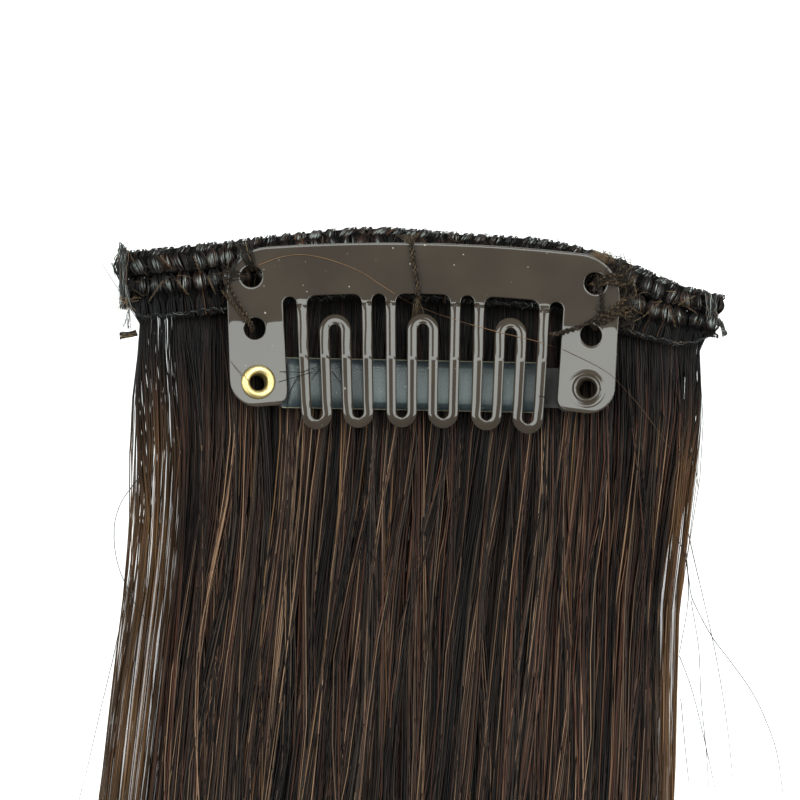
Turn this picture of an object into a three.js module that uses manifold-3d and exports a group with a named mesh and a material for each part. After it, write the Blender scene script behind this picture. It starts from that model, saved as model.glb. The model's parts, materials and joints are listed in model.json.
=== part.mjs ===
// A clip-in hair extension: a short double weft of hair with a snap comb clip sewn across it.
// It lies with the scalp side up. Millimetres, +X along the weft, +Y from the hair's tips to the weft, +Z up.
// The origin is the middle of the whole piece's footprint, on the surface that it lies on.
import * as THREE from "three";
import Module from "manifold-3d";
import { mergeVertices } from "three/addons/utils/BufferGeometryUtils.js";

const wasm = await Module();
wasm.setup();

// The closed clip bends itself and the weft to the curve of a head, so both ends lift off the surface.
const HEAD_RADIUS = 78;
const CURVE_FULL_Y = -10; // above this the hair keeps the weft's curve
const CURVE_FLAT_Y = -30; // below this it lies flat

// Weft: two rows of sewn bundles on the hair's head strip.
const WEFT_LENGTH = 50;
const WEFT_CENTRE_Y = 2.65;
const UPPER_ROW_HEIGHT = 2.2;
const LOWER_ROW_HEIGHT = 3.1;
const ROW_GROOVE = 0.35;
const ROW_THICKNESS = 1.8;
const RIGHT_END_TAPER = 0.8; // height of the weft at its right end, against its height elsewhere
const BUNDLE_PITCH = 1.25;
const BUNDLE_WAIST = 0.72; // size of a row between two bundles, against its size at a bundle
const SKIRT_THICKNESS = 0.95; // the lower row thins to this along the stitched seam under its bundles
const HEAD_STRIP_THICKNESS = 0.7;

// Hair: the tips end a little past what the photo shows.
const HAIR_LENGTH = 55;
const HAIR_THICKNESS = 2.1;
const TIP_THICKNESS = 1.1;
const LOCK_COUNT = 17;
const LOCK_VALLEY = 0.6; // thickness between two locks, against the thickness at a lock's crest
const LOCK_POINT = 3.2; // how far a lock's point reaches past the notch beside it

// Clip: a stamping whose bar bows and whose legs and fingers converge towards a far point.
const BOW_RADIUS = 130;
const FAN_RADIUS = 190; // from the bar to the point where the fingers would meet
const LEAN = -0.012; // the fingers stand this much out of square to the bar, as a slope
const CLIP_TURN_DEG = -1.15; // it is sewn on a little askew
const CLIP_SHIFT = 0.18; // and this far right of the weft's middle
const SHEET = 0.5;
const BAR_DEPTH = 4.25;
const LEG_DEPTH = 8.85;
const LEG_WIDTH = 4.4;
const LEG_FLARE = 0.55;
const LEG_RISE_DEG = 5.5;
const LEG_RISE_START_Y = -0.6;
const TOP_CORNER_R = 3.4;
const LEG_OUTER_CORNER_R = 2.4;
const LEG_INNER_CORNER_R = 1;
const SEWING_HOLE_R = 0.88;
const UPPER_HOLE_V = 1.92;
const LOWER_HOLE_V = -2.38;
const HOLE_OUTSET = 0.25; // the holes' line lies this far outside the middle of the leg

// Comb: sprung fingers, three loops that each run down, up, down and up again.
const LOOP_COUNT = 3;
const BARS_PER_LOOP = 4;
const FINGER_WIDTH = 0.89;
const SLOT_WIDTH = 0.91; // between the fingers of one loop
const LOOP_GAP = 1.1; // between two loops, and between the outer ones and the legs
const COMB_REACH = 11.1;
const POCKET_DEPTH = 1.6; // from the bar to the top of the bend between a loop's two middle fingers
const FINGER_RISE = 1.35;
const TIP_DIP = 0.35;
const HINGE_GAP = 0.35;

// Strip behind the comb, its silicone tube, and the eyelets that hold it to the legs.
const STRIP_WIDTH = 3.3;
const STRIP_TAB_R = 1.95;
const EYELET_INSET = 2.04; // from the end of the leg to the middle of its eyelet
const SLEEVE_LEFT_MARGIN = 0.37; // between the tube's end and the leg beside it
const SLEEVE_RIGHT_MARGIN = 1.25;
const SLEEVE_WALL = 0.35;
const BORE_R = 0.69;
const BARREL_R = 0.95;
const BRASS_FLANGE_R = 1.42;
const LACQUERED_FLANGE_R = 1.65;
const FLANGE_HEIGHT = 0.35;
const BACK_FLANGE_HEIGHT = 0.22;

const THREAD_R = 0.28;

// Clearances between pieces that touch on the real thing.
const SEAT_GAP = 0.3;
const SHEET_GAP = 0.1;
const BARREL_GAP = 0.08;
const FLANGE_GAP = 0.06;
const SLEEVE_GAP = 0.1;
const THREAD_GAP = 0.12;

// The weft droops within its own plane. Shares of half its length; drop is downwards, towards the tips.
const WEFT_LINE = [
  { across: -1.0, drop: 0.08 },
  { across: -0.72, drop: 0.052 },
  { across: -0.36, drop: 0.008 },
  { across: -0.14, drop: -0.006 },
  { across: 0.16, drop: 0.016 },
  { across: 0.4, drop: 0.034 },
  { across: 0.6, drop: 0.086 },
  { across: 0.8, drop: 0.158 },
  { across: 0.985, drop: 0.2 },
];

// The curtain's two edges. Down is a share of the hair's length, left and right are shares of half the weft.
// Thick is the share of the way from the tips' thickness to the full one.
const HAIR_OUTLINE = [
  { down: 0.0, left: -0.955, right: 0.945, thick: 1.0 },
  { down: 0.07, left: -0.93, right: 0.928, thick: 1.0 },
  { down: 0.15, left: -0.922, right: 0.907, thick: 0.95 },
  { down: 0.24, left: -0.927, right: 0.89, thick: 0.88 },
  { down: 0.33, left: -0.94, right: 0.875, thick: 0.8 },
  { down: 0.42, left: -0.961, right: 0.853, thick: 0.72 },
  { down: 0.52, left: -0.99, right: 0.848, thick: 0.62 },
  { down: 0.68, left: -1.028, right: 0.841, thick: 0.45 },
  { down: 0.86, left: -1.075, right: 0.825, thick: 0.25 },
  { down: 0.95, left: -1.09, right: 0.82, thick: 0.05 },
  { down: 1.0, left: -1.1, right: 0.815, thick: -0.75 },
];

const BROWN_LACQUER = new THREE.MeshStandardMaterial({ color: 0x4a4038, roughness: 0.25, metalness: 0.3 });
const BRASS = new THREE.MeshStandardMaterial({ color: 0xc8b45a, roughness: 0.25, metalness: 1 });
const SILICONE = new THREE.MeshStandardMaterial({ color: 0x7d8c90, roughness: 0.35, metalness: 0 });
const HAIR = new THREE.MeshStandardMaterial({ color: 0x3a2d25, roughness: 0.5, metalness: 0 });
const WEFT = new THREE.MeshStandardMaterial({ color: 0x2a2826, roughness: 0.6, metalness: 0 });
const THREAD = new THREE.MeshStandardMaterial({ color: 0x3b312a, roughness: 0.8, metalness: 0 });

// Sizes that follow from the ones above.
const weftHalf = WEFT_LENGTH / 2;
const weftHeight = UPPER_ROW_HEIGHT + ROW_GROOVE + LOWER_ROW_HEIGHT;
const rowFloor = HEAD_STRIP_THICKNESS + SEAT_GAP;
const clipSeat = rowFloor + ROW_THICKNESS + SEAT_GAP; // height of the clip's underside at the weft's middle
const barPitch = FINGER_WIDTH + SLOT_WIDTH;
const loopPitch = (BARS_PER_LOOP - 1) * barPitch + FINGER_WIDTH + LOOP_GAP;
const legInner = (LOOP_COUNT * loopPitch + LOOP_GAP) / 2;
const legOuter = legInner + LEG_WIDTH;
const holeU = (legInner + legOuter) / 2 + HOLE_OUTSET;
const eyeletV = EYELET_INSET - LEG_DEPTH;
const outerBendR = (barPitch + FINGER_WIDTH) / 2;
const sleeveHeight = STRIP_WIDTH + 2 * (SLEEVE_GAP + SLEEVE_WALL);
const sleeveThickness = SHEET + 2 * (SLEEVE_GAP + SLEEVE_WALL);

const ramp = (value, from, to) => THREE.MathUtils.smoothstep(value, from, to);

// Height of a head-shaped curve above its lowest line.
const headCurve = (x) => HEAD_RADIUS - Math.sqrt(HEAD_RADIUS ** 2 - x ** 2);

// Height of the hair's underside above the surface.
const hairFloor = (x, y) => headCurve(x) * ramp(y, CURVE_FLAT_Y, CURVE_FULL_Y);

// Undersides of the clip's sheets: legs rise away from the bar, and the fingers bow over the tube.
function frameHeight(x, y) {
  const rise = Math.max(0, LEG_RISE_START_Y - y) * Math.tan(THREE.MathUtils.degToRad(LEG_RISE_DEG));
  return clipSeat + headCurve(x) + rise;
}
const stripHeight = (x, y) => frameHeight(x, y) - SHEET_GAP - SHEET;
function fingerHeight(x, y) {
  const down = -y / COMB_REACH;
  return clipSeat + headCurve(x) + FINGER_RISE * ramp(down, 0, 0.52) - TIP_DIP * ramp(down, 0.88, 1.04);
}

// Place of a point of the flat pattern, u along the bar and v up from the bar's lower edge.
function fan([u, v]) {
  const y = v - u ** 2 / (2 * BOW_RADIUS);
  return new THREE.Vector2(u * (1 + v / FAN_RADIUS) + LEAN * y, y);
}

// Solids and meshes

function solidFrom(geometry) {
  const bare = geometry.index ? geometry.toNonIndexed() : geometry.clone();
  bare.deleteAttribute("normal");
  bare.deleteAttribute("uv");
  const merged = mergeVertices(bare, 1e-4);
  return new wasm.Manifold(
    new wasm.Mesh({
      numProp: 3,
      vertProperties: merged.attributes.position.array,
      triVerts: new Uint32Array(merged.index.array),
    }),
  );
}

function geometryFrom(solid) {
  const mesh = solid.getMesh();
  const positions = new Float32Array(mesh.numVert * 3);
  for (let i = 0; i < mesh.numVert; i++) {
    positions.set(mesh.vertProperties.subarray(i * mesh.numProp, i * mesh.numProp + 3), i * 3);
  }
  return new THREE.BufferGeometry()
    .setAttribute("position", new THREE.BufferAttribute(positions, 3))
    .setIndex(new THREE.BufferAttribute(mesh.triVerts, 1));
}

// A closed body between rings of points, each ring a section with as many points as the next.
// Rings turn anticlockwise seen against the way they advance.
function loft(rings) {
  const positions = [];
  const size = rings[0].length;
  const face = (a, b, c) => positions.push(...a.toArray(), ...b.toArray(), ...c.toArray());
  for (let i = 0; i + 1 < rings.length; i++) {
    for (let k = 0; k < size; k++) {
      const next = (k + 1) % size;
      face(rings[i][k], rings[i + 1][next], rings[i + 1][k]);
      face(rings[i][k], rings[i][next], rings[i + 1][next]);
    }
  }
  const last = rings[rings.length - 1];
  for (let k = 1; k + 1 < size; k++) {
    face(rings[0][0], rings[0][k + 1], rings[0][k]);
    face(last[0], last[k], last[k + 1]);
  }
  return new THREE.BufferGeometry().setAttribute("position", new THREE.Float32BufferAttribute(positions, 3));
}

// A closed body between an upper and a lower surface on the same grid. Columns advance with x, rows with -y.
function slab(columns, rows, upper, lower) {
  const positions = [];
  const face = (...corners) => corners.forEach((corner) => positions.push(...corner.toArray()));
  const cell = (a, b, c, d) => {
    face(a, b, c);
    face(a, c, d);
  };
  for (let i = 0; i < columns; i++) {
    for (let j = 0; j < rows; j++) {
      cell(upper(i, j), upper(i, j + 1), upper(i + 1, j + 1), upper(i + 1, j));
      cell(lower(i, j), lower(i + 1, j), lower(i + 1, j + 1), lower(i, j + 1));
    }
    cell(upper(i, 0), upper(i + 1, 0), lower(i + 1, 0), lower(i, 0));
    cell(upper(i + 1, rows), upper(i, rows), lower(i, rows), lower(i + 1, rows));
  }
  for (let j = 0; j < rows; j++) {
    cell(upper(0, j + 1), upper(0, j), lower(0, j), lower(0, j + 1));
    cell(upper(columns, j), upper(columns, j + 1), lower(columns, j + 1), lower(columns, j));
  }
  return new THREE.BufferGeometry().setAttribute("position", new THREE.Float32BufferAttribute(positions, 3));
}

// A bent sheet whose underside is a height over x and y.
function bentSheet(xs, ys, height) {
  const at = (lift) => (i, j) => new THREE.Vector3(xs[i], ys[j], height(xs[i], ys[j]) + lift);
  return solidFrom(slab(xs.length - 1, ys.length - 1, at(SHEET), at(0)));
}

const spaced = (from, to, count) => Array.from({ length: count + 1 }, (_, i) => from + ((to - from) * i) / count);

// Points of a closed outline whose corners are [u, v, radius], each rounded by an arc.
function roundedOutline(corners, arcStep = Math.PI / 8) {
  const points = [];
  corners.forEach(([u, v, radius], i) => {
    const corner = new THREE.Vector2(u, v);
    const [before, after] = [corners.at(i - 1), corners[(i + 1) % corners.length]].map(([pu, pv]) =>
      new THREE.Vector2(pu, pv).sub(corner).normalize(),
    );
    if (radius === 0) {
      points.push([u, v]);
      return;
    }
    const half = before.angleTo(after) / 2;
    const middle = before.clone().add(after).normalize().multiplyScalar(radius / Math.sin(half)).add(corner);
    const start = before.clone().multiplyScalar(radius / Math.tan(half)).add(corner).sub(middle);
    const sweep = (Math.PI - 2 * half) * Math.sign(after.cross(before));
    const steps = Math.max(2, Math.ceil(Math.abs(sweep) / arcStep));
    for (let k = 0; k <= steps; k++) {
      const point = start.clone().rotateAround(new THREE.Vector2(), (sweep * k) / steps).add(middle);
      points.push([point.x, point.y]);
    }
  });
  return points;
}

// Adds points along the long sides of an outline, so that it can follow the fan.
function subdivided(points, step) {
  return points.flatMap((point, i) => {
    const next = points[(i + 1) % points.length];
    const count = Math.max(1, Math.round(Math.abs(next[0] - point[0]) / step));
    return spaced(0, 1, count)
      .slice(0, -1)
      .map((t) => [point[0] + (next[0] - point[0]) * t, point[1] + (next[1] - point[1]) * t]);
  });
}

// An upright prism over an outline, tall enough to cut any sheet of the clip.
function prism(points, holes = []) {
  const shape = new THREE.Shape(points);
  shape.holes = holes.map((hole) => new THREE.Path(hole));
  const geometry = new THREE.ExtrudeGeometry(shape, { depth: 2 * clipSeat + 10, bevelEnabled: false });
  return solidFrom(geometry);
}

const circlePoints = (u, v, radius, sides) =>
  spaced(0, 2 * Math.PI, sides)
    .slice(0, -1)
    .map((angle) => [u + radius * Math.cos(angle), v + radius * Math.sin(angle)]);

// Where each eyelet goes: on the leg's upper face, square to it.
function eyeletSeat(side) {
  const { x, y } = fan([side * holeU, eyeletV]);
  const slope = 1e-3;
  const dx = (frameHeight(x + slope, y) - frameHeight(x - slope, y)) / (2 * slope);
  const dy = (frameHeight(x, y + slope) - frameHeight(x, y - slope)) / (2 * slope);
  const axis = new THREE.Vector3(-dx, -dy, 1).normalize();
  const place = new THREE.Vector3(x, y, frameHeight(x, y)).addScaledVector(axis, SHEET);
  return new THREE.Matrix4().compose(
    place,
    new THREE.Quaternion().setFromUnitVectors(new THREE.Vector3(0, 0, 1), axis),
    new THREE.Vector3(1, 1, 1),
  );
}

function drillFor(side) {
  const drill = new THREE.CylinderGeometry(BARREL_R + BARREL_GAP, BARREL_R + BARREL_GAP, 8 * SHEET, 20);
  return solidFrom(drill.rotateX(Math.PI / 2).applyMatrix4(eyeletSeat(side)));
}

// Weft

const weftCurve = new THREE.SplineCurve(
  WEFT_LINE.map(({ across, drop }) => new THREE.Vector2(across * weftHalf, WEFT_CENTRE_Y - drop * weftHalf)),
);

// A point at a share of the weft's length, moved along the weft's own upward direction.
function weftPoint(share, up) {
  const tangent = weftCurve.getTangentAt(share);
  const taper = 1 - (1 - RIGHT_END_TAPER) * ramp(share, 0.8, 1);
  return weftCurve.getPointAt(share).add(new THREE.Vector2(-tangent.y, tangent.x).multiplyScalar(up * taper));
}

// A row of bundles: wide and thick at each bundle, narrower between two. The profile's points are shares of the
// row's half height and of its thickness, anticlockwise seen from the weft's left end.
function weftRow(centreUp, height, profile) {
  const bundles = Math.round(weftCurve.getLength() / BUNDLE_PITCH);
  const rings = spaced(0, 1, 2 * bundles).map((share, i) => {
    const size = i % 2 ? 1 : BUNDLE_WAIST;
    return profile.map(({ up, thick }) => {
      const { x, y } = weftPoint(share, centreUp + (up * size * height) / 2);
      const waist = 0.5 + (thick - 0.5) * size;
      return new THREE.Vector3(x, y, rowFloor + headCurve(x) + waist * ROW_THICKNESS);
    });
  });
  return loft(rings);
}

const upperRowProfile = [
  { up: 1, thick: 0.5 },
  { up: 0.72, thick: 0.9 },
  { up: 0, thick: 1 },
  { up: -0.72, thick: 0.9 },
  { up: -1, thick: 0.5 },
  { up: -0.72, thick: 0.1 },
  { up: 0, thick: 0 },
  { up: 0.72, thick: 0.1 },
];

const skirt = SKIRT_THICKNESS / ROW_THICKNESS;
const lowerRowProfile = [
  { up: 1, thick: 0.5 },
  { up: 0.75, thick: 0.92 },
  { up: 0.3, thick: 1 },
  { up: -0.25, thick: 0.85 },
  { up: -0.5, thick: skirt },
  { up: -1, thick: skirt * 0.8 },
  { up: -1, thick: 0.05 },
  { up: 0.75, thick: 0.05 },
];

// Hair

// Thickness across the curtain: locks crest side by side, each with its own height and length.
const lockHeight = (lock) => 0.86 + 0.14 * Math.sin(lock * 2.4);
const lockReach = (lock) => 0.5 + 0.5 * Math.sin(lock * 1.7 + 1);
const COLUMNS_PER_LOCK = 4;

// Everything above the hair's underside, which is one flat face below the curved stretch.
function spaceAboveHairFloor() {
  const xs = spaced(-WEFT_LENGTH, WEFT_LENGTH, 24);
  const ys = [WEFT_LENGTH, ...spaced(CURVE_FULL_Y, CURVE_FLAT_Y, 6), -2 * HAIR_LENGTH];
  const lower = (i, j) => new THREE.Vector3(xs[i], ys[j], hairFloor(xs[i], ys[j]));
  const upper = (i, j) => lower(i, j).setZ(HAIR_LENGTH);
  return solidFrom(slab(xs.length - 1, ys.length - 1, upper, lower));
}

function hairSolid() {
  const columns = LOCK_COUNT * COLUMNS_PER_LOCK;
  const lowerEdge = -weftHeight / 2 - SEAT_GAP;
  const headRows = [
    { up: weftHeight / 2 - ROW_GROOVE, thick: HEAD_STRIP_THICKNESS },
    { up: lowerEdge, thick: HEAD_STRIP_THICKNESS },
  ];
  const rows = headRows.length + HAIR_OUTLINE.length - 1;
  const crest = (share) => {
    const lock = share * LOCK_COUNT;
    const within = lock - Math.floor(lock);
    return { lock: Math.min(LOCK_COUNT - 1, Math.floor(lock)), ridge: Math.sin(Math.PI * within) ** 2 };
  };
  const crown = (i, j) => {
    const share = i / columns;
    const { lock, ridge } = crest(share);
    if (j < headRows.length) {
      const { x, y } = weftPoint(0.02 + 0.96 * share, headRows[j].up);
      return new THREE.Vector3(x, y, hairFloor(x, y) + headRows[j].thick);
    }
    const { down, left, right, thick } = HAIR_OUTLINE[j - headRows.length];
    const start = weftPoint(0.02 + 0.96 * share, lowerEdge - SEAT_GAP / 2);
    const end = lowerEdge + WEFT_CENTRE_Y - HAIR_LENGTH + LOCK_POINT * (1 - ridge) + LOCK_POINT * lockReach(lock);
    const y = THREE.MathUtils.lerp(start.y, end, down);
    const x = THREE.MathUtils.lerp(left, right, share) * weftHalf;
    const settled = THREE.MathUtils.lerp(start.x, x, ramp(down, 0, HAIR_OUTLINE[1].down));
    const full = TIP_THICKNESS + (HAIR_THICKNESS - TIP_THICKNESS) * thick;
    const shape = THREE.MathUtils.lerp(LOCK_VALLEY, lockHeight(lock), ridge);
    return new THREE.Vector3(settled, y, hairFloor(settled, y) + full * shape);
  };
  const sunk = (i, j) => crown(i, j).setZ(-HAIR_THICKNESS);
  return solidFrom(slab(columns, rows, crown, sunk)).intersect(spaceAboveHairFloor());
}

// Clip

function clipFrame() {
  const corners = [
    [-legOuter, BAR_DEPTH, TOP_CORNER_R],
    [-legOuter - LEG_FLARE, -LEG_DEPTH, LEG_OUTER_CORNER_R],
    [-legInner, -LEG_DEPTH, LEG_INNER_CORNER_R],
    [-legInner, 0, SLOT_WIDTH / 2],
    [legInner, 0, SLOT_WIDTH / 2],
    [legInner, -LEG_DEPTH, LEG_INNER_CORNER_R],
    [legOuter + LEG_FLARE, -LEG_DEPTH, LEG_OUTER_CORNER_R],
    [legOuter, BAR_DEPTH, TOP_CORNER_R],
  ];
  const holes = [-1, 1].flatMap((side) =>
    [UPPER_HOLE_V, LOWER_HOLE_V].map((v) => circlePoints(side * holeU, v, SEWING_HOLE_R, 16).map(fan)),
  );
  const outline = subdivided(roundedOutline(corners), 2.4).map(fan);
  const reach = legOuter + 2 * LEG_FLARE;
  const ys = [BAR_DEPTH + 1, LEG_RISE_START_Y, -LEG_DEPTH - 2];
  const sheet = bentSheet(spaced(-reach, reach, 18), ys, frameHeight);
  return sheet.intersect(prism(outline, holes)).subtract(drillFor(-1)).subtract(drillFor(1));
}

// One loop of the comb, cut from the bowed finger sheet. It starts just below the bar, where it springs.
function combLoop(centre) {
  const edge = (bar, side) => centre + (bar - (BARS_PER_LOOP - 1) / 2) * barPitch + (side * FINGER_WIDTH) / 2;
  const root = -HINGE_GAP;
  const tip = -COMB_REACH;
  const bendInner = SLOT_WIDTH / 2;
  const corners = [
    [edge(0, -1), root, 0],
    [edge(0, -1), tip, outerBendR],
    [edge(1, 1), tip, outerBendR],
    [edge(1, 1), -POCKET_DEPTH - FINGER_WIDTH, bendInner],
    [edge(2, -1), -POCKET_DEPTH - FINGER_WIDTH, bendInner],
    [edge(2, -1), tip, outerBendR],
    [edge(3, 1), tip, outerBendR],
    [edge(3, 1), root, 0],
    [edge(3, -1), root, 0],
    [edge(3, -1), tip + FINGER_WIDTH, bendInner],
    [edge(2, 1), tip + FINGER_WIDTH, bendInner],
    [edge(2, 1), -POCKET_DEPTH, outerBendR],
    [edge(1, -1), -POCKET_DEPTH, outerBendR],
    [edge(1, -1), tip + FINGER_WIDTH, bendInner],
    [edge(0, 1), tip + FINGER_WIDTH, bendInner],
    [edge(0, 1), root, 0],
  ];
  const xs = spaced(centre - loopPitch / 2, centre + loopPitch / 2, 3);
  const ys = spaced(1, -COMB_REACH - 2, 11);
  return bentSheet(xs, ys, fingerHeight).intersect(prism(roundedOutline(corners).map(fan)));
}

// The strip runs straight between the eyelets, with a round tab under each leg.
function gripStrip() {
  const { x: rightX, y: stripY } = fan([holeU, eyeletV]);
  const middleX = (rightX + fan([-holeU, eyeletV]).x) / 2;
  const tabX = rightX - middleX;
  const neck = tabX - STRIP_TAB_R;
  const half = STRIP_WIDTH / 2;
  const upperSide = [
    [tabX + STRIP_TAB_R, STRIP_TAB_R, STRIP_TAB_R],
    [neck, STRIP_TAB_R, STRIP_TAB_R / 3],
    [neck - (STRIP_TAB_R - half), half, 0],
  ];
  const mirrored = (list, x, y) => list.map(([px, py, r]) => [x * px, y * py, r]);
  const corners = [
    ...upperSide,
    ...mirrored(upperSide, -1, 1).reverse(),
    ...mirrored(upperSide, -1, -1),
    ...mirrored(upperSide, 1, -1).reverse(),
  ];
  const outline = roundedOutline(corners).map(([x, y]) => new THREE.Vector2(x + middleX, y + stripY));
  const reach = tabX + 2 * STRIP_TAB_R;
  const ys = [stripY + 2 * STRIP_TAB_R, stripY - 2 * STRIP_TAB_R];
  const sheet = bentSheet(spaced(-reach, reach, 16), ys, stripHeight);
  return sheet.intersect(prism(outline)).subtract(drillFor(-1)).subtract(drillFor(1));
}

// The silicone tube: an oval ring of wall around the strip.
function gripSleeve() {
  const stripY = fan([holeU, eyeletV]).y;
  const tube = (from, to, height, thickness, sides) => {
    const ring = (x) =>
      spaced(0, 2 * Math.PI, sides)
        .slice(0, -1)
        .map((angle) => {
          const across = (Math.sign(Math.cos(angle)) * Math.abs(Math.cos(angle)) ** 0.6 * height) / 2;
          const up = (Math.sign(Math.sin(angle)) * Math.abs(Math.sin(angle)) ** 0.6 * thickness) / 2;
          const y = stripY + across;
          return new THREE.Vector3(x, y, stripHeight(x, y) + SHEET / 2 + up);
        });
    return solidFrom(loft(spaced(from, to, 8).map(ring)));
  };
  const from = fan([-legInner, eyeletV]).x + SLEEVE_LEFT_MARGIN;
  const to = fan([legInner, eyeletV]).x - SLEEVE_RIGHT_MARGIN;
  const inner = prism(
    [
      [from - 1, stripY - STRIP_WIDTH / 2 - SLEEVE_GAP],
      [to + 1, stripY - STRIP_WIDTH / 2 - SLEEVE_GAP],
      [to + 1, stripY + STRIP_WIDTH / 2 + SLEEVE_GAP],
      [from - 1, stripY + STRIP_WIDTH / 2 + SLEEVE_GAP],
    ].map(([x, y]) => new THREE.Vector2(x, y)),
  );
  const at = (lift) => (i, j) => {
    const x = from - 1 + ((to - from + 2) * i) / 8;
    const y = stripY + (j ? -1 : 1) * STRIP_WIDTH;
    return new THREE.Vector3(x, y, stripHeight(x, y) + lift);
  };
  const bore = solidFrom(slab(8, 1, at(SHEET + SLEEVE_GAP), at(-SLEEVE_GAP))).intersect(inner);
  return tube(from, to, sleeveHeight, sleeveThickness, 14).subtract(bore);
}

// A hollow rivet: a rolled flange over the leg, a barrel through leg and strip, a flat flange behind.
function eyelet(side, flangeR, crown) {
  const back = -2 * SHEET - SHEET_GAP - FLANGE_GAP;
  const profile = [
    [BORE_R, back - BACK_FLANGE_HEIGHT],
    [flangeR, back - BACK_FLANGE_HEIGHT],
    [flangeR, back],
    [BARREL_R, back],
    [BARREL_R, FLANGE_GAP],
    [flangeR, FLANGE_GAP],
    [flangeR, FLANGE_GAP + FLANGE_HEIGHT * 0.45],
    ...crown.map(({ out, up }) => [BORE_R + (flangeR - BORE_R) * out, FLANGE_GAP + FLANGE_HEIGHT * up]),
    [BORE_R, FLANGE_GAP + FLANGE_HEIGHT * 0.5],
    [BORE_R, back - BACK_FLANGE_HEIGHT],
  ];
  const lathe = new THREE.LatheGeometry(
    profile.map(([r, z]) => new THREE.Vector2(r, z)),
    20,
  );
  return solidFrom(lathe.rotateX(Math.PI / 2).applyMatrix4(eyeletSeat(side)));
}

// Threads

// A thread over the clip's face between two points of the plane, its two ends turned down to the weft or hair.
function threadOver(from, to, reach) {
  const lift = SHEET + THREAD_GAP + THREAD_R;
  const [a, b] = [new THREE.Vector2(...from), new THREE.Vector2(...to)];
  const over = (t) => {
    const { x, y } = a.clone().lerp(b, t);
    return new THREE.Vector3(x, y, frameHeight(x, y) + lift);
  };
  const foot = (end) => new THREE.Vector3(end.x, end.y, frameHeight(end.x, end.y) - reach);
  const points = [foot(a), over(0.02), over(0.35), over(0.65), over(0.98), foot(b)];
  return threadAlong(points, 12);
}

function threadAlong(points, steps) {
  const section = new THREE.Shape(circlePoints(0, 0, THREAD_R, 6).map(([x, y]) => new THREE.Vector2(x, y)));
  const extrudePath = new THREE.CatmullRomCurve3(points, false, "centripetal");
  return solidFrom(new THREE.ExtrudeGeometry(section, { steps, extrudePath, bevelEnabled: false }));
}

const root = new THREE.Group();

function add(name, geometry, material, parent = root) {
  const mesh = new THREE.Mesh(geometry, material);
  mesh.name = name;
  parent.add(mesh);
  return mesh;
}

const rowOffset = (weftHeight - UPPER_ROW_HEIGHT) / 2;
const lowerOffset = -(weftHeight - LOWER_ROW_HEIGHT) / 2;
add("hair_locks", geometryFrom(hairSolid()), HAIR);
add("weft_upper_row", weftRow(rowOffset, UPPER_ROW_HEIGHT, upperRowProfile), WEFT);
add("weft_lower_row", weftRow(lowerOffset, LOWER_ROW_HEIGHT, lowerRowProfile), WEFT);

const clip = new THREE.Group();
clip.rotation.z = THREE.MathUtils.degToRad(CLIP_TURN_DEG);
clip.position.x = CLIP_SHIFT;
root.add(clip);
add("clip_frame", geometryFrom(clipFrame()), BROWN_LACQUER, clip);
["comb_loop_left", "comb_loop_middle", "comb_loop_right"].forEach((name, i) => {
  add(name, geometryFrom(combLoop((i - (LOOP_COUNT - 1) / 2) * loopPitch)), BROWN_LACQUER, clip);
});
add("grip_strip", geometryFrom(gripStrip()), BROWN_LACQUER, clip);
add("grip_sleeve", geometryFrom(gripSleeve()), SILICONE, clip);

const rolledCrown = [
  { out: 0.78, up: 0.95 },
  { out: 0.5, up: 1 },
  { out: 0.2, up: 0.85 },
];
const sunkenCrown = [
  { out: 0.85, up: 0.6 },
  { out: 0.42, up: 1 },
  { out: 0.28, up: 1 },
];
add("brass_eyelet", geometryFrom(eyelet(-1, BRASS_FLANGE_R, rolledCrown)), BRASS, clip);
add("lacquered_eyelet", geometryFrom(eyelet(1, LACQUERED_FLANGE_R, sunkenCrown)), BROWN_LACQUER, clip);

// Sewing: from each hole over the leg's outer edge, and once round the middle of the bar.
const outside = THREAD_R + THREAD_GAP;
const edgeReach = SHEET / 2;
for (const [word, side] of [
  ["left", -1],
  ["right", 1],
]) {
  const edgeX = side * (legOuter + LEG_FLARE / 2 + outside);
  const upper = fan([side * holeU, UPPER_HOLE_V]);
  const lower = fan([side * holeU, LOWER_HOLE_V]);
  const upperEdge = [edgeX, upper.y + SEWING_HOLE_R];
  const lowerEdge = [edgeX, lower.y + 3 * SEWING_HOLE_R];
  add(`thread_${word}_upper`, geometryFrom(threadOver([upper.x, upper.y], upperEdge, edgeReach)), THREAD, clip);
  add(`thread_${word}_lower`, geometryFrom(threadOver([lower.x, lower.y], lowerEdge, edgeReach)), THREAD, clip);
}
const threadX = -0.75;
const overBar = threadOver([threadX, BAR_DEPTH + outside], [threadX, -outside - THREAD_GAP], edgeReach);
add("thread_middle", geometryFrom(overBar), THREAD, clip);

// Stand the piece on z = 0 with its footprint centred.
const extent = new THREE.Box3().setFromObject(root);
const footprint = extent.getCenter(new THREE.Vector3());
const part = new THREE.Group();
root.position.set(-footprint.x, -footprint.y, -extent.min.z);
part.add(root);

export default part;
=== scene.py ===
"""A clip-in hair extension, lying clip side up on a white table."""

import json

import bpy
import numpy as np
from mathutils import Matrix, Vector, geometry
from mathutils.bvhtree import BVHTree


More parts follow.
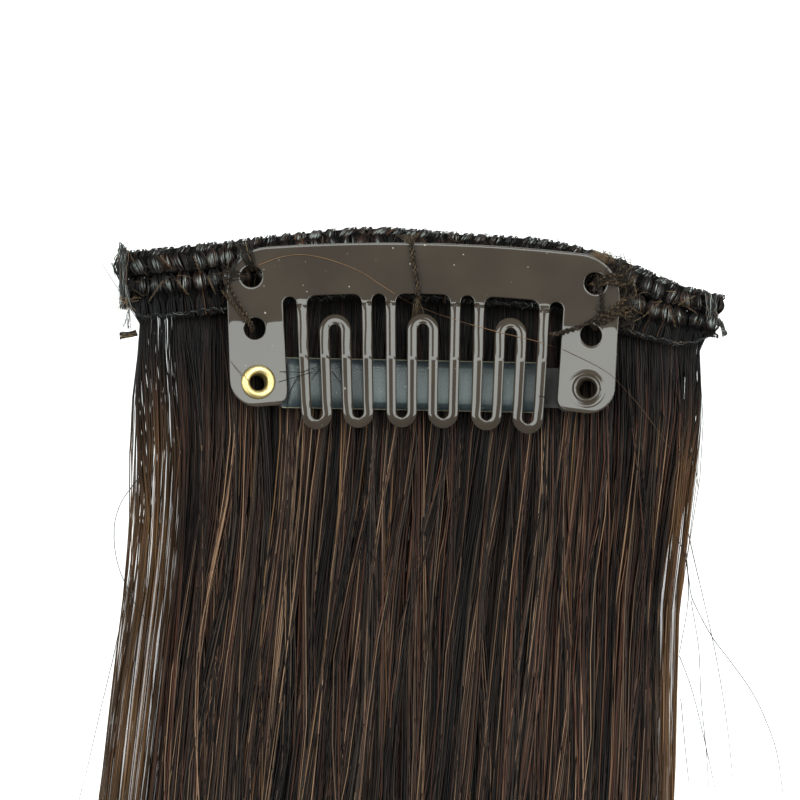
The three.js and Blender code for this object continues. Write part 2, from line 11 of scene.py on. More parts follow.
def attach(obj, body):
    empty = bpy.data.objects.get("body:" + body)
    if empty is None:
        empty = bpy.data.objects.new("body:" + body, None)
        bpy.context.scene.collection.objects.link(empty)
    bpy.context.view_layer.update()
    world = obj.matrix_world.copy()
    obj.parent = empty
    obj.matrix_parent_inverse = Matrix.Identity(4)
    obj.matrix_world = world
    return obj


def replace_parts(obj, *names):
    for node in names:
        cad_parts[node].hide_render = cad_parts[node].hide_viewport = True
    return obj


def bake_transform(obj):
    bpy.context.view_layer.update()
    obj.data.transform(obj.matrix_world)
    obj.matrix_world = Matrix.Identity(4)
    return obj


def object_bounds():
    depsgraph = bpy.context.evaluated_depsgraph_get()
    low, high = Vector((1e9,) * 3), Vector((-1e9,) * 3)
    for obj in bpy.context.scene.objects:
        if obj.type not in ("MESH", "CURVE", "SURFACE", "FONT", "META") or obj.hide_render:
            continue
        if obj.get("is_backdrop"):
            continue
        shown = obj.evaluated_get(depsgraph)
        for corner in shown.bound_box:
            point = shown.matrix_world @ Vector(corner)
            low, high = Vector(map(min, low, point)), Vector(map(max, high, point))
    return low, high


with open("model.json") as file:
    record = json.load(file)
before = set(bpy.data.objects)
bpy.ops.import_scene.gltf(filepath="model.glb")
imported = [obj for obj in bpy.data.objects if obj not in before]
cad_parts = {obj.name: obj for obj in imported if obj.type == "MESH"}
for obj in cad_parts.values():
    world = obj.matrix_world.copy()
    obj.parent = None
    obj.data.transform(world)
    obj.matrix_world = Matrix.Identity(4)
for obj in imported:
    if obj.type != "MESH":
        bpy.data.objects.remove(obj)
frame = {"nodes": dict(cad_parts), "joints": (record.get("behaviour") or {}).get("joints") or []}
cad_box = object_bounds()

# The camera looks straight down from well above, as the photo's did, on a little less than the whole piece.
# Its frame is 66.5 mm wide and holds the weft and the upper three quarters of the hair.
mm = 0.001
CAMERA_HEIGHT = 420 * mm
FRAME_WIDTH = 66.5 * mm
FRAME_MIDDLE = (-0.53 * mm, 16.12 * mm)
FOCUS_HEIGHT = 3 * mm

camera_data = bpy.data.cameras.new("camera")
camera_data.sensor_width = 36
camera_data.lens = 36 * (CAMERA_HEIGHT - FOCUS_HEIGHT) / FRAME_WIDTH
camera_data.clip_start = 5 * mm
camera = bpy.data.objects.new("camera", camera_data)
camera.location = (*FRAME_MIDDLE, CAMERA_HEIGHT)
bpy.context.scene.collection.objects.link(camera)
bpy.context.scene.camera = camera

# Hair curtain: thousands of straight fine hairs hanging from the weft, gathered in flat overlapping locks.
# They pass under the weft's two rows, where they are sewn, and thin out at both sides of the curtain.
HEAD_RADIUS = 78 * mm
CURVE_FULL_Y = -10 * mm
CURVE_FLAT_Y = -30 * mm
WEFT_LENGTH = 50 * mm
WEFT_CENTRE_Y = 2.65 * mm
WEFT_HEIGHT = 5.65 * mm
RIGHT_END_TAPER = 0.8
HAIR_LENGTH = 54.5 * mm
HAIR_THICKNESS = 2.15 * mm
TIP_THICKNESS = 1.1 * mm
HEAD_STRIP_THICKNESS = 0.7 * mm
STRAND = 0.095 * mm

# Shares of half the weft's length, from its left end to its right: place along it, and how far it droops.
WEFT_LINE = np.array(
    [
        (-1.0, 0.08),
        (-0.72, 0.052),
        (-0.36, 0.008),
        (-0.14, -0.006),
        (0.16, 0.016),
        (0.4, 0.034),
        (0.6, 0.086),
        (0.8, 0.158),
        (0.985, 0.2),
    ]
)

# How far down the hair, its left and right edges in shares of half the weft, and how thick it lies.
HAIR_OUTLINE = np.array(
    [
        (0.0, -0.955, 0.945, 1.0),
        (0.07, -0.93, 0.928, 1.0),
        (0.15, -0.922, 0.907, 0.95),
        (0.24, -0.927, 0.89, 0.88),
        (0.33, -0.94, 0.875, 0.8),
        (0.42, -0.961, 0.853, 0.72),
        (0.52, -0.99, 0.848, 0.62),
        (0.68, -1.028, 0.841, 0.45),
        (0.86, -1.075, 0.825, 0.25),
        (1.0, -1.1, 0.815, 0.0),
    ]
)

weft_half = WEFT_LENGTH / 2
lower_edge = -WEFT_HEIGHT / 2 - 0.3 * mm  # where the hair leaves the weft
pivot = np.array(frame["joints"][0]["pos_m"])
clip_turn = np.radians(-1.15)
to_hinge = 0.5 * mm  # the hinge runs this far below the bar's lower edge
clip_shift = 0.18 * mm  # the clip is sewn on this far right of the weft's middle
clip_middle = pivot[:2] + to_hinge * np.array([-np.sin(clip_turn), np.cos(clip_turn)])
weft_middle = clip_middle - (clip_shift, 0)


def ramp(value, low, high):
    t = np.clip((np.asarray(value) - low) / (high - low), 0, 1)
    return t * t * (3 - 2 * t)


def mix(a, b, t):
    return a + (b - a) * t


def head_curve(x):
    return HEAD_RADIUS - np.sqrt(HEAD_RADIUS**2 - x**2)


def hair_floor(x, y):
    return head_curve(x) * ramp(y, CURVE_FLAT_Y, CURVE_FULL_Y)


def weft_curve(samples_per_span=60):
    knots = WEFT_LINE * (weft_half, -weft_half) + (0, WEFT_CENTRE_Y)
    points = []
    for i in range(len(knots) - 1):
        before, start, end, after = (knots[np.clip(i + k, 0, len(knots) - 1)] for k in (-1, 0, 1, 2))
        leave, arrive = (end - before) / 2, (after - start) / 2
        t = np.linspace(0, 1, samples_per_span, endpoint=i == len(knots) - 2)[:, None]
        cubic = (2 * start - 2 * end + leave + arrive) * t**3
        square = (3 * end - 3 * start - 2 * leave - arrive) * t**2
        points.append(cubic + square + leave * t + start)
    points = np.concatenate(points)
    run = np.concatenate([[0], np.cumsum(np.linalg.norm(np.diff(points, axis=0), axis=1))])
    return run, points


weft_run, weft_points = weft_curve()


def weft_point(share, up):
    """The place at a share of the weft's length, moved up across it."""
    run = np.clip(share, 0, 1) * weft_run[-1]
    middle, ahead, behind = (
        np.stack([np.interp(run + step, weft_run, weft_points[:, k]) for k in (0, 1)], axis=-1)
        for step in (0, 0.2 * mm, -0.2 * mm)
    )
    tangent = (ahead - behind) / np.linalg.norm(ahead - behind, axis=-1, keepdims=True)
    taper = 1 - (1 - RIGHT_END_TAPER) * ramp(share, 0.8, 1)
    across = np.stack([-tangent[..., 1], tangent[..., 0]], axis=-1)
    beyond = (np.asarray(share) - np.clip(share, 0, 1)) * weft_run[-1]
    return middle + across * (up * taper)[..., None] + tangent * beyond[..., None]


def in_place(x, y, z):
    return np.stack([x + weft_middle[0], y + weft_middle[1], z + 0 * x], axis=-1)


class Socket:
    """A node's output, so that shader maths reads as ordinary Python."""

    def __init__(self, tree, output):
        self.tree = tree
        self.output = output

    def math(self, operation, *others):
        inputs = dict(enumerate((self, *others)))
        return self.tree.add("ShaderNodeMath", {"operation": operation}, inputs)["Value"]

    def __add__(self, other):
        return self.math("ADD", other)

    def __sub__(self, other):
        return self.math("SUBTRACT", other)

    def __rsub__(self, other):
        return (self * -1) + other

    def __mul__(self, other):
        return self.math("MULTIPLY", other)

    __radd__ = __add__
    __rmul__ = __mul__

    def between(self, low, high):
        return self.tree.add(
            "ShaderNodeMapRange",
            {"interpolation_type": "SMOOTHSTEP"},
            {"Value": self, "From Min": low, "From Max": high},
        )["Result"]


class Node:
    def __init__(self, tree, node):
        self.tree = tree
        self.node = node

    def __getitem__(self, name):
        return Socket(self.tree, self.node.outputs[name])


class Tree:
    """Adds nodes to a material or a geometry group: type, settings, then the values or links of its sockets."""

    def __init__(self, node_tree):
        self.node_tree = node_tree

    def add(self, kind, settings=None, inputs=None):
        node = self.node_tree.nodes.new(kind)
        for name, value in (settings or {}).items():
            setattr(node, name, value)
        for name, value in (inputs or {}).items():
            if isinstance(value, Socket):
                self.node_tree.links.new(value.output, node.inputs[name])
            else:
                node.inputs[name].default_value = value
        return Node(self, node)

    def blend(self, share, first, second):
        inputs = {"Factor": share, "A": first, "B": second}
        node = self.node_tree.nodes.new("ShaderNodeMix")
        node.data_type = "RGBA"
        for name, value in inputs.items():
            socket = next(s for s in node.inputs if s.name == name and s.enabled)
            if isinstance(value, Socket):
                self.node_tree.links.new(value.output, socket)
            else:
                socket.default_value = value
        return Socket(self, next(s for s in node.outputs if s.enabled))

    def noise(self, scale, detail=2.0, stretch=(1, 1, 1), roughness=0.5):
        place = self.add("ShaderNodeTexCoord")["Object"]
        mapped = self.add("ShaderNodeMapping", {"vector_type": "POINT"}, {"Vector": place, "Scale": stretch})
        inputs = {"Vector": mapped["Vector"], "Scale": scale, "Detail": detail, "Roughness": roughness}
        return self.add("ShaderNodeTexNoise", {}, inputs)["Fac"]

    def bump(self, height, distance, strength=1.0):
        inputs = {"Height": height, "Distance": distance, "Strength": strength}
        return self.add("ShaderNodeBump", {}, inputs)["Normal"]

    def attribute(self, name):
        return self.add("ShaderNodeAttribute", {"attribute_name": name})["Fac"]


def srgb(red, green, blue):
    channels = np.array([red, green, blue]) / 255
    linear = np.where(channels <= 0.04045, channels / 12.92, ((channels + 0.055) / 1.055) ** 2.4)
    return (*(float(c) for c in linear), 1.0)


def surface(name, shade):
    """A material whose Principled sockets are what shade(tree) returns."""
    material = bpy.data.materials.new(name)
    material.use_nodes = True
    tree = Tree(material.node_tree)
    principled = material.node_tree.nodes["Principled BSDF"]
    for socket, value in shade(tree).items():
        if isinstance(value, Socket):
            material.node_tree.links.new(value.output, principled.inputs[socket])
        else:
            principled.inputs[socket].default_value = value
    return material


def hair_finish(dark, mid, light, gold, ruddy, gloss):
    """Tint with painted shading runs from dark over mid to light. A hair's hue turns it to ruddy, and its gilt turns
    it to gold; at the curtain's thin sides that gilt is painted backlight.
    """

    def shade(tree):
        tint = tree.attribute("tint")
        gilt = tree.attribute("gilt")
        along = tree.noise(420, detail=3, stretch=(1, 0.16, 1))
        middle = tree.blend(tree.attribute("hue"), mid, ruddy)
        base = tree.blend(tint.between(0.0, 0.55), dark, middle)
        base = tree.blend(tint.between(0.5, 1.0), base, light)
        base = tree.blend(gilt, base, gold)
        base = tree.blend(along.between(0.35, 0.7) * 0.5, base, dark)
        return {"Base Color": base, "Roughness": 0.36 + along * 0.2, "Specular IOR Level": gloss}

    return shade


hair_material = surface(
    "dark brown hair",
    hair_finish(srgb(4, 3, 3), srgb(50, 44, 38), srgb(136, 108, 84), srgb(134, 98, 60), srgb(80, 47, 34), 0.14),
)


def tube_tree():
    """Turns edge paths into tubes as thick as the paths' own thickness says."""
    group = bpy.data.node_groups.new("tubes along paths", "GeometryNodeTree")
    sockets = group.interface
    sockets.new_socket("Paths", in_out="INPUT", socket_type="NodeSocketGeometry")
    sockets.new_socket("Sides", in_out="INPUT", socket_type="NodeSocketInt").default_value = 3
    sockets.new_socket("Material", in_out="INPUT", socket_type="NodeSocketMaterial")
    sockets.new_socket("Tubes", in_out="OUTPUT", socket_type="NodeSocketGeometry")
    tree = Tree(group)
    given = tree.add("NodeGroupInput")
    width = tree.add("GeometryNodeInputNamedAttribute", {"data_type": "FLOAT"}, {"Name": "thickness"})["Attribute"]
    lines = tree.add("GeometryNodeMeshToCurve", {}, {"Mesh": given["Paths"]})["Curve"]
    lines = tree.add("GeometryNodeSetCurveRadius", {}, {"Curve": lines, "Radius": width})["Curve"]
    ring = tree.add("GeometryNodeCurvePrimitiveCircle", {}, {"Resolution": given["Sides"], "Radius": 0.5})["Curve"]
    tubes = tree.add("GeometryNodeCurveToMesh", {}, {"Curve": lines, "Profile Curve": ring})
    if "Scale" in tubes.node.inputs:
        group.links.new(width.output, tubes.node.inputs["Scale"])
    smooth = tree.add("GeometryNodeSetShadeSmooth", {}, {"Geometry": tubes["Mesh"]})["Geometry"]
    whole = tree.add("GeometryNodeRealizeInstances", {}, {"Geometry": smooth})["Geometry"]
    inputs = {"Geometry": whole, "Material": given["Material"]}
    done = tree.add("GeometryNodeSetMaterial", {}, inputs)["Geometry"]
    tree.add("NodeGroupOutput", {}, {"Tubes": done})
    return group


tubes_along_paths = tube_tree()


def placed(name, mesh):
    """An object of the scene with this mesh."""
    piece = bpy.data.objects.new(name, mesh)
    bpy.context.scene.collection.objects.link(piece)
    return piece


def baked(source, name, tree, values):
    """The mesh that a geometry tree makes of an object, as an object of its own."""
    modifier = source.modifiers.new("shape", "NODES")
    modifier.node_group = tree
    for item in tree.interface.items_tree:
        if item.item_type == "SOCKET" and item.in_out == "INPUT" and item.name in values:
            modifier[item.identifier] = values[item.name]
    source.update_tag()
    bpy.context.view_layer.update()
    evaluated = source.evaluated_get(bpy.context.evaluated_depsgraph_get())
    mesh = bpy.data.meshes.new_from_object(evaluated)
    source.modifiers.remove(modifier)
    bpy.data.objects.remove(source)
    mesh.name = name
    return placed(name, mesh)


def strands(name, paths, thickness, material, sides=3, **shades):
    """Tubes along paths, an array of strands by points by xyz. Shades are numbers per strand or per point."""
    count, points = paths.shape[:2]
    mesh = bpy.data.meshes.new(name + " paths")
    mesh.vertices.add(count * points)
    mesh.vertices.foreach_set("co", paths.astype(np.float32).ravel())
    first = (np.arange(count)[:, None] * points + np.arange(points - 1)[None, :]).ravel()
    mesh.edges.add(len(first))
    mesh.edges.foreach_set("vertices", np.stack([first, first + 1], axis=-1).astype(np.int32).ravel())
    for label, values in {"thickness": thickness, **shades}.items():
        values = np.asarray(values, dtype=np.float32)
        if values.ndim == 1:
            values = values[:, None]
        layer = mesh.attributes.new(label, "FLOAT", "POINT")
        layer.data.foreach_set("value", np.broadcast_to(values, (count, points)).ravel())
    source = placed(name + " paths", mesh)
    return baked(source, name, tubes_along_paths, {"Sides": sides, "Material": material})


# Stations down a hair, in shares of its length. One more comes before them, this far up under the weft's rows.
DOWN = np.array([0, 0.05, 0.12, 0.21, 0.32, 0.44, 0.57, 0.71, 0.86, 1.0])
UNDER_WEFT = np.array([2.0 * mm])
under = len(UNDER_WEFT)


def curtain_paths(share, depth, reach):
    """Hairs of the curtain: share across it and depth from its underside, each by strand and station."""
    down = DOWN[None, :] * reach[:, None]
    held = 0.02 + 0.96 * np.clip(share[:, under:], 0.008, 1.0)
    start = weft_point(held, np.full_like(down, lower_edge - 0.15 * mm))
    left, right, thick = (np.interp(down, HAIR_OUTLINE[:, 0], HAIR_OUTLINE[:, k]) for k in (1, 2, 3))
    tip_y = lower_edge + WEFT_CENTRE_Y - HAIR_LENGTH
    y = mix(start[..., 1], tip_y, down)
    x = mix(start[..., 0], mix(left, right, share[:, under:]) * weft_half, ramp(down, 0, 0.24))
    full = mix(TIP_THICKNESS, HAIR_THICKNESS, thick)
    full = mix(HEAD_STRIP_THICKNESS, full, ramp(down, 0, 0.06))
    side = np.minimum(share[:, under:], 1 - share[:, under:])
    full = full * mix(0.35, 1, ramp(side, -0.01, 0.09))
    z = hair_floor(x, y) + STRAND / 2 + (full - STRAND) * depth[:, under:]
    head = weft_point(0.02 + 0.96 * share[:, :under], np.broadcast_to(UNDER_WEFT, share[:, :under].shape))
    head_z = head_curve(head[..., 0]) + 0.05 * mm + 0.55 * mm * depth[:, :under]
    x = np.concatenate([head[..., 0], x], axis=1)
    y = np.concatenate([head[..., 1], y], axis=1)
    return in_place(x, y, np.concatenate([head_z, z], axis=1))


stations = np.concatenate([[-0.04], DOWN])[None, :]


def waver(rng, count, size, low, high):
    """Slow random waves along the hair, one row per strand or lock."""
    turns = rng.uniform(low, high, (count, 1))
    phase = rng.uniform(0, 2 * np.pi, (count, 1))
    return rng.normal(0, size, (count, 1)) * np.sin(2 * np.pi * turns * stations + phase)


def locks(seed, count, each, low, high, drift, spread):
    """Shares and depths of hairs gathered in locks, and for each hair a tint with painted shade over it."""
    rng = np.random.default_rng(seed)
    lock = np.repeat(np.arange(count), each)
    total = len(lock)
    middle = (np.arange(count) + 0.5 + rng.uniform(-0.35, 0.35, count)) / count
    lean = rng.normal(0, drift, count)[:, None] * ramp(stations, 0, 1)
    path = middle[:, None] + lean + waver(rng, count, drift * 0.4, 0.5, 1.6)
    gather = 1 - 0.5 * ramp(stations, 0.02, 0.4) * rng.uniform(0.2, 1, (count, 1)) + waver(rng, count, 0.14, 1, 2)
    radius = np.sqrt(rng.uniform(0, 1, (total, 1)))
    angle = rng.uniform(0, 2 * np.pi, (total, 1)) + rng.normal(0, 1.3, (total, 1)) * stations
    half = spread / count * gather[lock]
    share = path[lock] + half * radius * np.cos(angle) + waver(rng, total, 0.0026, 0.7, 2.8)
    stray = np.clip(rng.standard_t(2.2, (total, 1)) * 0.006, -0.07, 0.07)
    share = share + stray * (stations - rng.uniform(0.1, 0.6, (total, 1)))
    sunk = 0.5 + 0.5 * radius * np.sin(angle)
    depth = mix(low, high, sunk)
    kind = rng.choice([0.02, 0.26, 0.48, 0.72, 1.0], total, p=[0.33, 0.28, 0.2, 0.12, 0.07])
    tint = kind + rng.normal(0, 0.09, count)[lock] + rng.normal(0, 0.07, total)
    # Painted shade: hairs low in their lock, and all hairs of the lower layers, are darkened.
    tint = np.clip(tint, 0, 1)[:, None] * mix(0.3, 1, sunk) * mix(0.5, 1, high)
    # Painted shade: hairs are darkened under the weft and just below it, where the clip lies over them.
    tint = tint * mix(0.25, 1, ramp(stations, 0.02, 0.24))
    return share, np.clip(depth, 0, 1), tint


def sides_lit(share):
    """How gilt a hair is, as painted light: hairs at the thin sides are coloured golden as if lit through from behind.
    """
    sides = np.interp(share, [0, 0.02, 0.055, 0.08, 0.965, 0.985, 1], [0.35, 0.6, 0.55, 0, 0, 0.45, 0.5])
    return sides * ramp(stations, 0.06, 0.3)


def side_clumps(rng, share):
    """Lower down, the hairs at both sides draw together in clumps with gaps between them."""
    centres = np.array([-0.014, 0.0, 0.014, 0.036, 0.05, 0.064, 0.082, 0.1, 0.962, 0.984, 1.006])
    centres = centres + rng.normal(0, 0.004, len(centres))
    nearest = centres[np.abs(share[:, 4:5] - centres).argmin(axis=1)][:, None]
    near = 1 - ramp(share, 0.06, 0.1) + ramp(share, 0.95, 0.965)
    pull = rng.uniform(0.55, 1.0, (len(share), 1))
    return mix(share, nearest, pull * near * ramp(stations, 0.1, 0.5))


def sides_thinned(middle, floor):
    """The share of hairs kept: the curtain is thin a little way in from its left edge, and at its right one."""
    places = [-0.02, 0.012, 0.03, 0.055, 0.085, 0.12, 0.93, 0.965, 1.0, 1.03]
    return np.interp(middle, places, [0.8, 0.5, floor, floor, 0.6, 1, 1, 0.8, 2 * floor, 2 * floor])


def curtain_layer(name, seed, count, each, low, high, drift, spread, floor):
    rng = np.random.default_rng(seed + 1)
    share, depth, tint = locks(seed, count, each, low, high, drift, spread)
    kept = rng.uniform(0, 1, len(share)) < sides_thinned(share[:, 4], floor)
    share, depth, tint = side_clumps(rng, share[kept]), depth[kept], tint[kept]
    reach = 1 - 0.16 * rng.uniform(0, 1, len(tint)) ** 2
    # Painted light: the sides' gilt stands in for light coming through the thin curtain.
    gilt = sides_lit(share) * rng.uniform(0.2, 1, (len(tint), 1))
    gilt = np.maximum(gilt, 0.6 * (rng.uniform(0, 1, (len(tint), 1)) < 0.012) * ramp(stations, 0.05, 0.2))
    paths = curtain_paths(share, depth, reach)
    thickness = STRAND * rng.uniform(0.75, 1.2, (len(tint), 1)) * mix(1, 0.45, ramp(stations, 0.9, 1))
    hue = rng.uniform(0, 1, len(tint)) ** 1.4
    return strands(name, paths, thickness, hair_material, tint=tint, gilt=gilt, hue=hue)


CURTAIN_LAYERS = [
    # name, seed, locks, hairs in a lock, lowest and highest depth, drift, spread, share kept at the thinnest place
    ("hair_lowest", 11, 34, 68, 0.0, 0.45, 0.006, 1.25, 0.2),
    ("hair_middle_low", 23, 34, 60, 0.2, 0.65, 0.014, 0.85, 0.16),
    ("hair_middle_high", 37, 42, 52, 0.4, 0.85, 0.02, 0.65, 0.14),
    ("hair_top", 41, 62, 40, 0.6, 1.0, 0.026, 0.62, 0.12),
]
hair_pieces = [curtain_layer(*layer) for layer in CURTAIN_LAYERS]

for piece in hair_pieces:
    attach(piece, "weft")
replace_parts(hair_pieces[0], "hair_locks")


# Weft: two rows of small hair bundles, sewn side by side with black thread on the head of the hair.
# Their ends roll over the top edge in a row of small knobs, and a seam along the bottom ties their feet down.
ROW_FLOOR = 1.0 * mm
ROW_THICKNESS = 1.8 * mm
BUNDLES = 41
WEFT_STRAND = 0.085 * mm
SEAM_UP = -2.72 * mm
LEG_START = -1.1 * mm

# The light colour of the sewn hair is a cool grey painted highlight, laid on along the bundles' crests.
weft_material = surface(
    "sewn black hair",
    hair_finish(srgb(3, 3, 3), srgb(38, 37, 36), srgb(146, 152, 148), srgb(98, 70, 50), srgb(58, 40, 32), 0.16),
)
thread_material = surface(
    "brown sewing thread",
    hair_finish(srgb(13, 11, 9), srgb(48, 39, 31), srgb(104, 87, 68), srgb(132, 108, 80), srgb(74, 52, 38), 0.15),
)


def weft_place(share, up, height):
    """A place on the weft, whose lower corners are cut away."""
    corner = ramp(share, 0.955, 0.995) + 1 - ramp(share, 0.005, 0.04)
    spot = weft_point(share, np.where(up < LEG_START, LEG_START + (up - LEG_START) * (1 - 0.7 * corner), up))
    return in_place(spot[..., 0], spot[..., 1], ROW_FLOOR + head_curve(spot[..., 0]) + height)


def bundle_row(name, seed, each, top, bottom, foot, steps, pinch, slope=0.14, crown=1.0, ragged=0.07 * mm):
    """Bundles side by side: each bulges between its two sewn ends, and its strands run on to the foot."""
    rng = np.random.default_rng(seed)
    bundle = np.repeat(np.arange(BUNDLES), each)
    total = len(bundle)
    centre = (np.arange(BUNDLES) + 0.5 + rng.uniform(-0.18, 0.18, BUNDLES))[bundle][:, None]
    wide = rng.uniform(0.78, 1.12, BUNDLES)[bundle][:, None]
    slant = (slope + rng.normal(0, 0.2, BUNDLES))[bundle][:, None]
    tall = rng.uniform(0.82, 1.05, BUNDLES)[bundle][:, None]
    across = np.sin(rng.uniform(-0.5 * np.pi, 0.5 * np.pi, (total, 1)))
    sunk = rng.uniform(0, 0.2, (total, 1)) * mm
    t = np.linspace(0, 1, steps)[None, :]
    run = (top - foot) * t
    within = np.clip(run / (top - bottom), 0, 1)
    bulge = np.sin(np.pi * np.clip(within, 0.04, 0.96))
    spread = mix(pinch, 1, np.maximum(bulge**0.8, ramp(run, top - bottom, mix(top - bottom, top - foot, 0.5))))
    beside = wide * (0.52 * across * spread + slant * (within - 0.5))
    share = (centre + beside + rng.normal(0, 0.015, (total, 1))) / BUNDLES
    dome = np.sqrt(1 - (0.93 * across) ** 2) * bulge**0.55
    low = mix(0.42, 0.3, within) * ROW_THICKNESS
    height = (low + (0.98 * ROW_THICKNESS * tall - low) * dome) * crown - sunk
    up = top - run + rng.normal(0, ragged, (total, 1))
    paths = weft_place(share, up, height)
    # Painted highlight: strands along each bundle's crest are lighter.
    tint = rng.normal(0.3, 0.2, (total, 1)) + 0.5 * (1 - np.abs(across))
    tint = tint + rng.normal(0, 0.14, BUNDLES)[bundle][:, None]
    # Painted shade: each bundle darkens towards its pinched ends and along its feet down to the seam.
    tint = np.clip(tint, 0, 1) * mix(0.12, 1, bulge**1.5)
    gilt = (rng.uniform(0, 1, total) < 0.03) * rng.uniform(0.3, 0.9, total)
    hue = np.clip(rng.normal(0.35, 0.35, BUNDLES), 0, 1)[bundle]
    thickness = WEFT_STRAND * rng.uniform(0.8, 1.2, (total, 1)) * np.ones_like(t)
    piece = strands(name, paths, thickness, weft_material, tint=tint, gilt=gilt, hue=hue)
    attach(piece, "weft")
    return piece


upper_bundles = bundle_row("weft_upper_bundles", 3, 38, 2.3 * mm, 0.62 * mm, 0.62 * mm, 8, 0.3)
lower_bundles = bundle_row("weft_lower_bundles", 5, 38, 0.6 * mm, LEG_START, -3.0 * mm, 10, 0.4)
bundle_row("weft_edge_knobs", 7, 27, 2.82 * mm, 1.95 * mm, 1.95 * mm, 7, 0.4, -0.4, 0.72, 0.03 * mm)
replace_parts(upper_bundles, "weft_upper_row")
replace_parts(lower_bundles, "weft_lower_row")


def smooth_solid(name, places, faces, material):
    mesh = bpy.data.meshes.new(name)
    mesh.from_pydata(places.reshape(-1, 3).tolist(), [], faces)
    mesh.polygons.foreach_set("use_smooth", [True] * len(faces))
    mesh.materials.append(material)
    return placed(name, mesh)


def core_bar(name, top, bottom, share_of_height):
    """The dark inside of a row, which shows between its bundles."""
    shares = np.linspace(0.004, 0.996, 180)[:, None]
    angle = np.linspace(0, 2 * np.pi, 16, endpoint=False)[None, :]
    middle, half = (top + bottom) / 2, (top - bottom) / 2
    up = middle + half * np.cos(angle) + 0 * shares
    height = ROW_THICKNESS * (0.5 + 0.5 * np.sin(angle)) * share_of_height + 0 * shares
    rings = weft_place(np.broadcast_to(shares, up.shape), up, height)
    count, sides = up.shape
    faces = []
    for i in range(count - 1):
        for k in range(sides):
            n = (k + 1) % sides
            faces.append((i * sides + k, (i + 1) * sides + k, (i + 1) * sides + n, i * sides + n))
    faces.append(tuple(range(sides)))
    faces.append(tuple((count - 1) * sides + k for k in reversed(range(sides))))
    piece = smooth_solid(name, rings, faces, core_material)
    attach(piece, "weft")
    return piece


def core_shade(tree):
    grain = tree.noise(900, detail=3, stretch=(1, 0.3, 1))
    base = tree.blend(grain.between(0.3, 0.8), srgb(4, 4, 4), srgb(14, 12, 11))
    bump = tree.bump(grain, 0.05 * mm, 0.5)
    return {"Base Color": base, "Roughness": 0.7 + grain * 0.2, "Specular IOR Level": 0.05, "Normal": bump}


core_material = surface("inside of the weft", core_shade)
core_bar("weft_upper_core", 2.7 * mm, 0.5 * mm, 0.55)
core_bar("weft_lower_core", 0.45 * mm, -2.75 * mm, 0.3)


def cord_of_strands(rng, line, plies, each, ply_radius, helix_radius, turns, lumps=0.0):
    """Strands of a twisted cord: line gives a place for a run from 0 to 1 and offsets across and upwards."""
    steps = int(turns * 7)
    t = np.linspace(0, 1, steps)[None, :]
    ply = np.repeat(np.arange(plies), each)[:, None]
    total = plies * each
    turn = 2 * np.pi * (turns * t + ply / plies)
    radius = ply_radius * np.sqrt(rng.uniform(0.1, 1, (total, 1)))
    own = rng.uniform(0, 2 * np.pi, (total, 1)) - 2.2 * turn
    swell = 1 + lumps * np.cos(turn)
    across = helix_radius * np.cos(turn) + radius * swell * np.cos(own)
    upward = helix_radius * np.sin(turn) + radius * swell * np.sin(own)
    return line(np.broadcast_to(t, across.shape), across, upward)


def along_weft(up, height, wander=0.0, seed=0):
    rng = np.random.default_rng(seed)
    phases = rng.uniform(0, 2 * np.pi, 4)

    def line(t, across, upward):
        drift = sum(np.sin(2 * np.pi * t * n + p) for n, p in zip((7, 13, 23, 31), phases)) * wander
        return weft_place(t, up + drift + across, height + upward)

    return line


def sewn(name, paths, material, width, seed, light=0.42, spread=0.22, gilt=0.1):
    rng = np.random.default_rng(seed)
    total, points = paths.shape[:2]
    tint = np.clip(rng.normal(light, spread, total), 0, 1)
    golden = (rng.uniform(0, 1, total) < gilt) * rng.uniform(0.3, 1, total)
    thickness = width * rng.uniform(0.75, 1.2, (total, 1)) * np.ones((1, points))
    piece = strands(name, paths, thickness, material, tint=tint, gilt=golden)
    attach(piece, "weft")
    return piece


rng = np.random.default_rng(17)
seam_line = along_weft(SEAM_UP, 0.55 * ROW_THICKNESS, 0.05 * mm, 20)
seam = cord_of_strands(rng, seam_line, 2, 5, 0.07 * mm, 0.09 * mm, 1.3 * BUNDLES, 0.3)
sewn("weft_seam_thread", seam, weft_material, 0.05 * mm, 21, light=0.35)


# Clip: one stamping of thin spring steel in glossy brown lacquer. Its bar and two legs are sewn to the weft,
# and six sprung fingers run down from the bar. All edges are rounded over by the lacquer.
CLIP_SEAT = 3.1 * mm
BOW_RADIUS = 130 * mm
FAN_RADIUS = 190 * mm
LEAN = -0.012
SHEET = 0.5 * mm
BAR_DEPTH = 4.25 * mm
LEG_DEPTH = 8.85 * mm
LEG_WIDTH = 4.4 * mm
LEG_FLARE = 0.55 * mm
LEG_TILT = np.radians(7.4)
LEG_BEND = (1.4 * mm, 4.2 * mm)
LEG_ROLL = 0.5 * mm
LEG_ROLL_DROP = 0.04 * mm
TOP_CORNER = 3.4 * mm
OUTER_CORNER = 2.4 * mm
INNER_CORNER = 1.0 * mm
SEWING_HOLE = 0.88 * mm
HOLE_ROWS = (1.92 * mm, -2.38 * mm)
HOLE_OUTSET = 0.25 * mm
EYELET_INSET = 2.04 * mm
EYELET_HOLE = 1.03 * mm
FINGER = 0.89 * mm
SLOT = 0.91 * mm
LOOP_GAP = 1.1 * mm
COMB_REACH = 11.1 * mm
POCKET_DEPTH = 1.6 * mm
FINGER_RISE = 1.35 * mm
TIP_DIP = 0.35 * mm
WINDOW_CORNER = 0.7 * mm
ROOT = -0.75 * mm
GRID = 0.45 * mm
RIM = 0.1 * mm
FRAME_DOME = 0.012 * mm
FINGER_DOME = 0.13 * mm
FINGER_FOLD = (0.75 * mm, 5.2 * mm)
FOLD_BLUR = 0.14 * mm
SWELL_RUN = 0.5 * mm
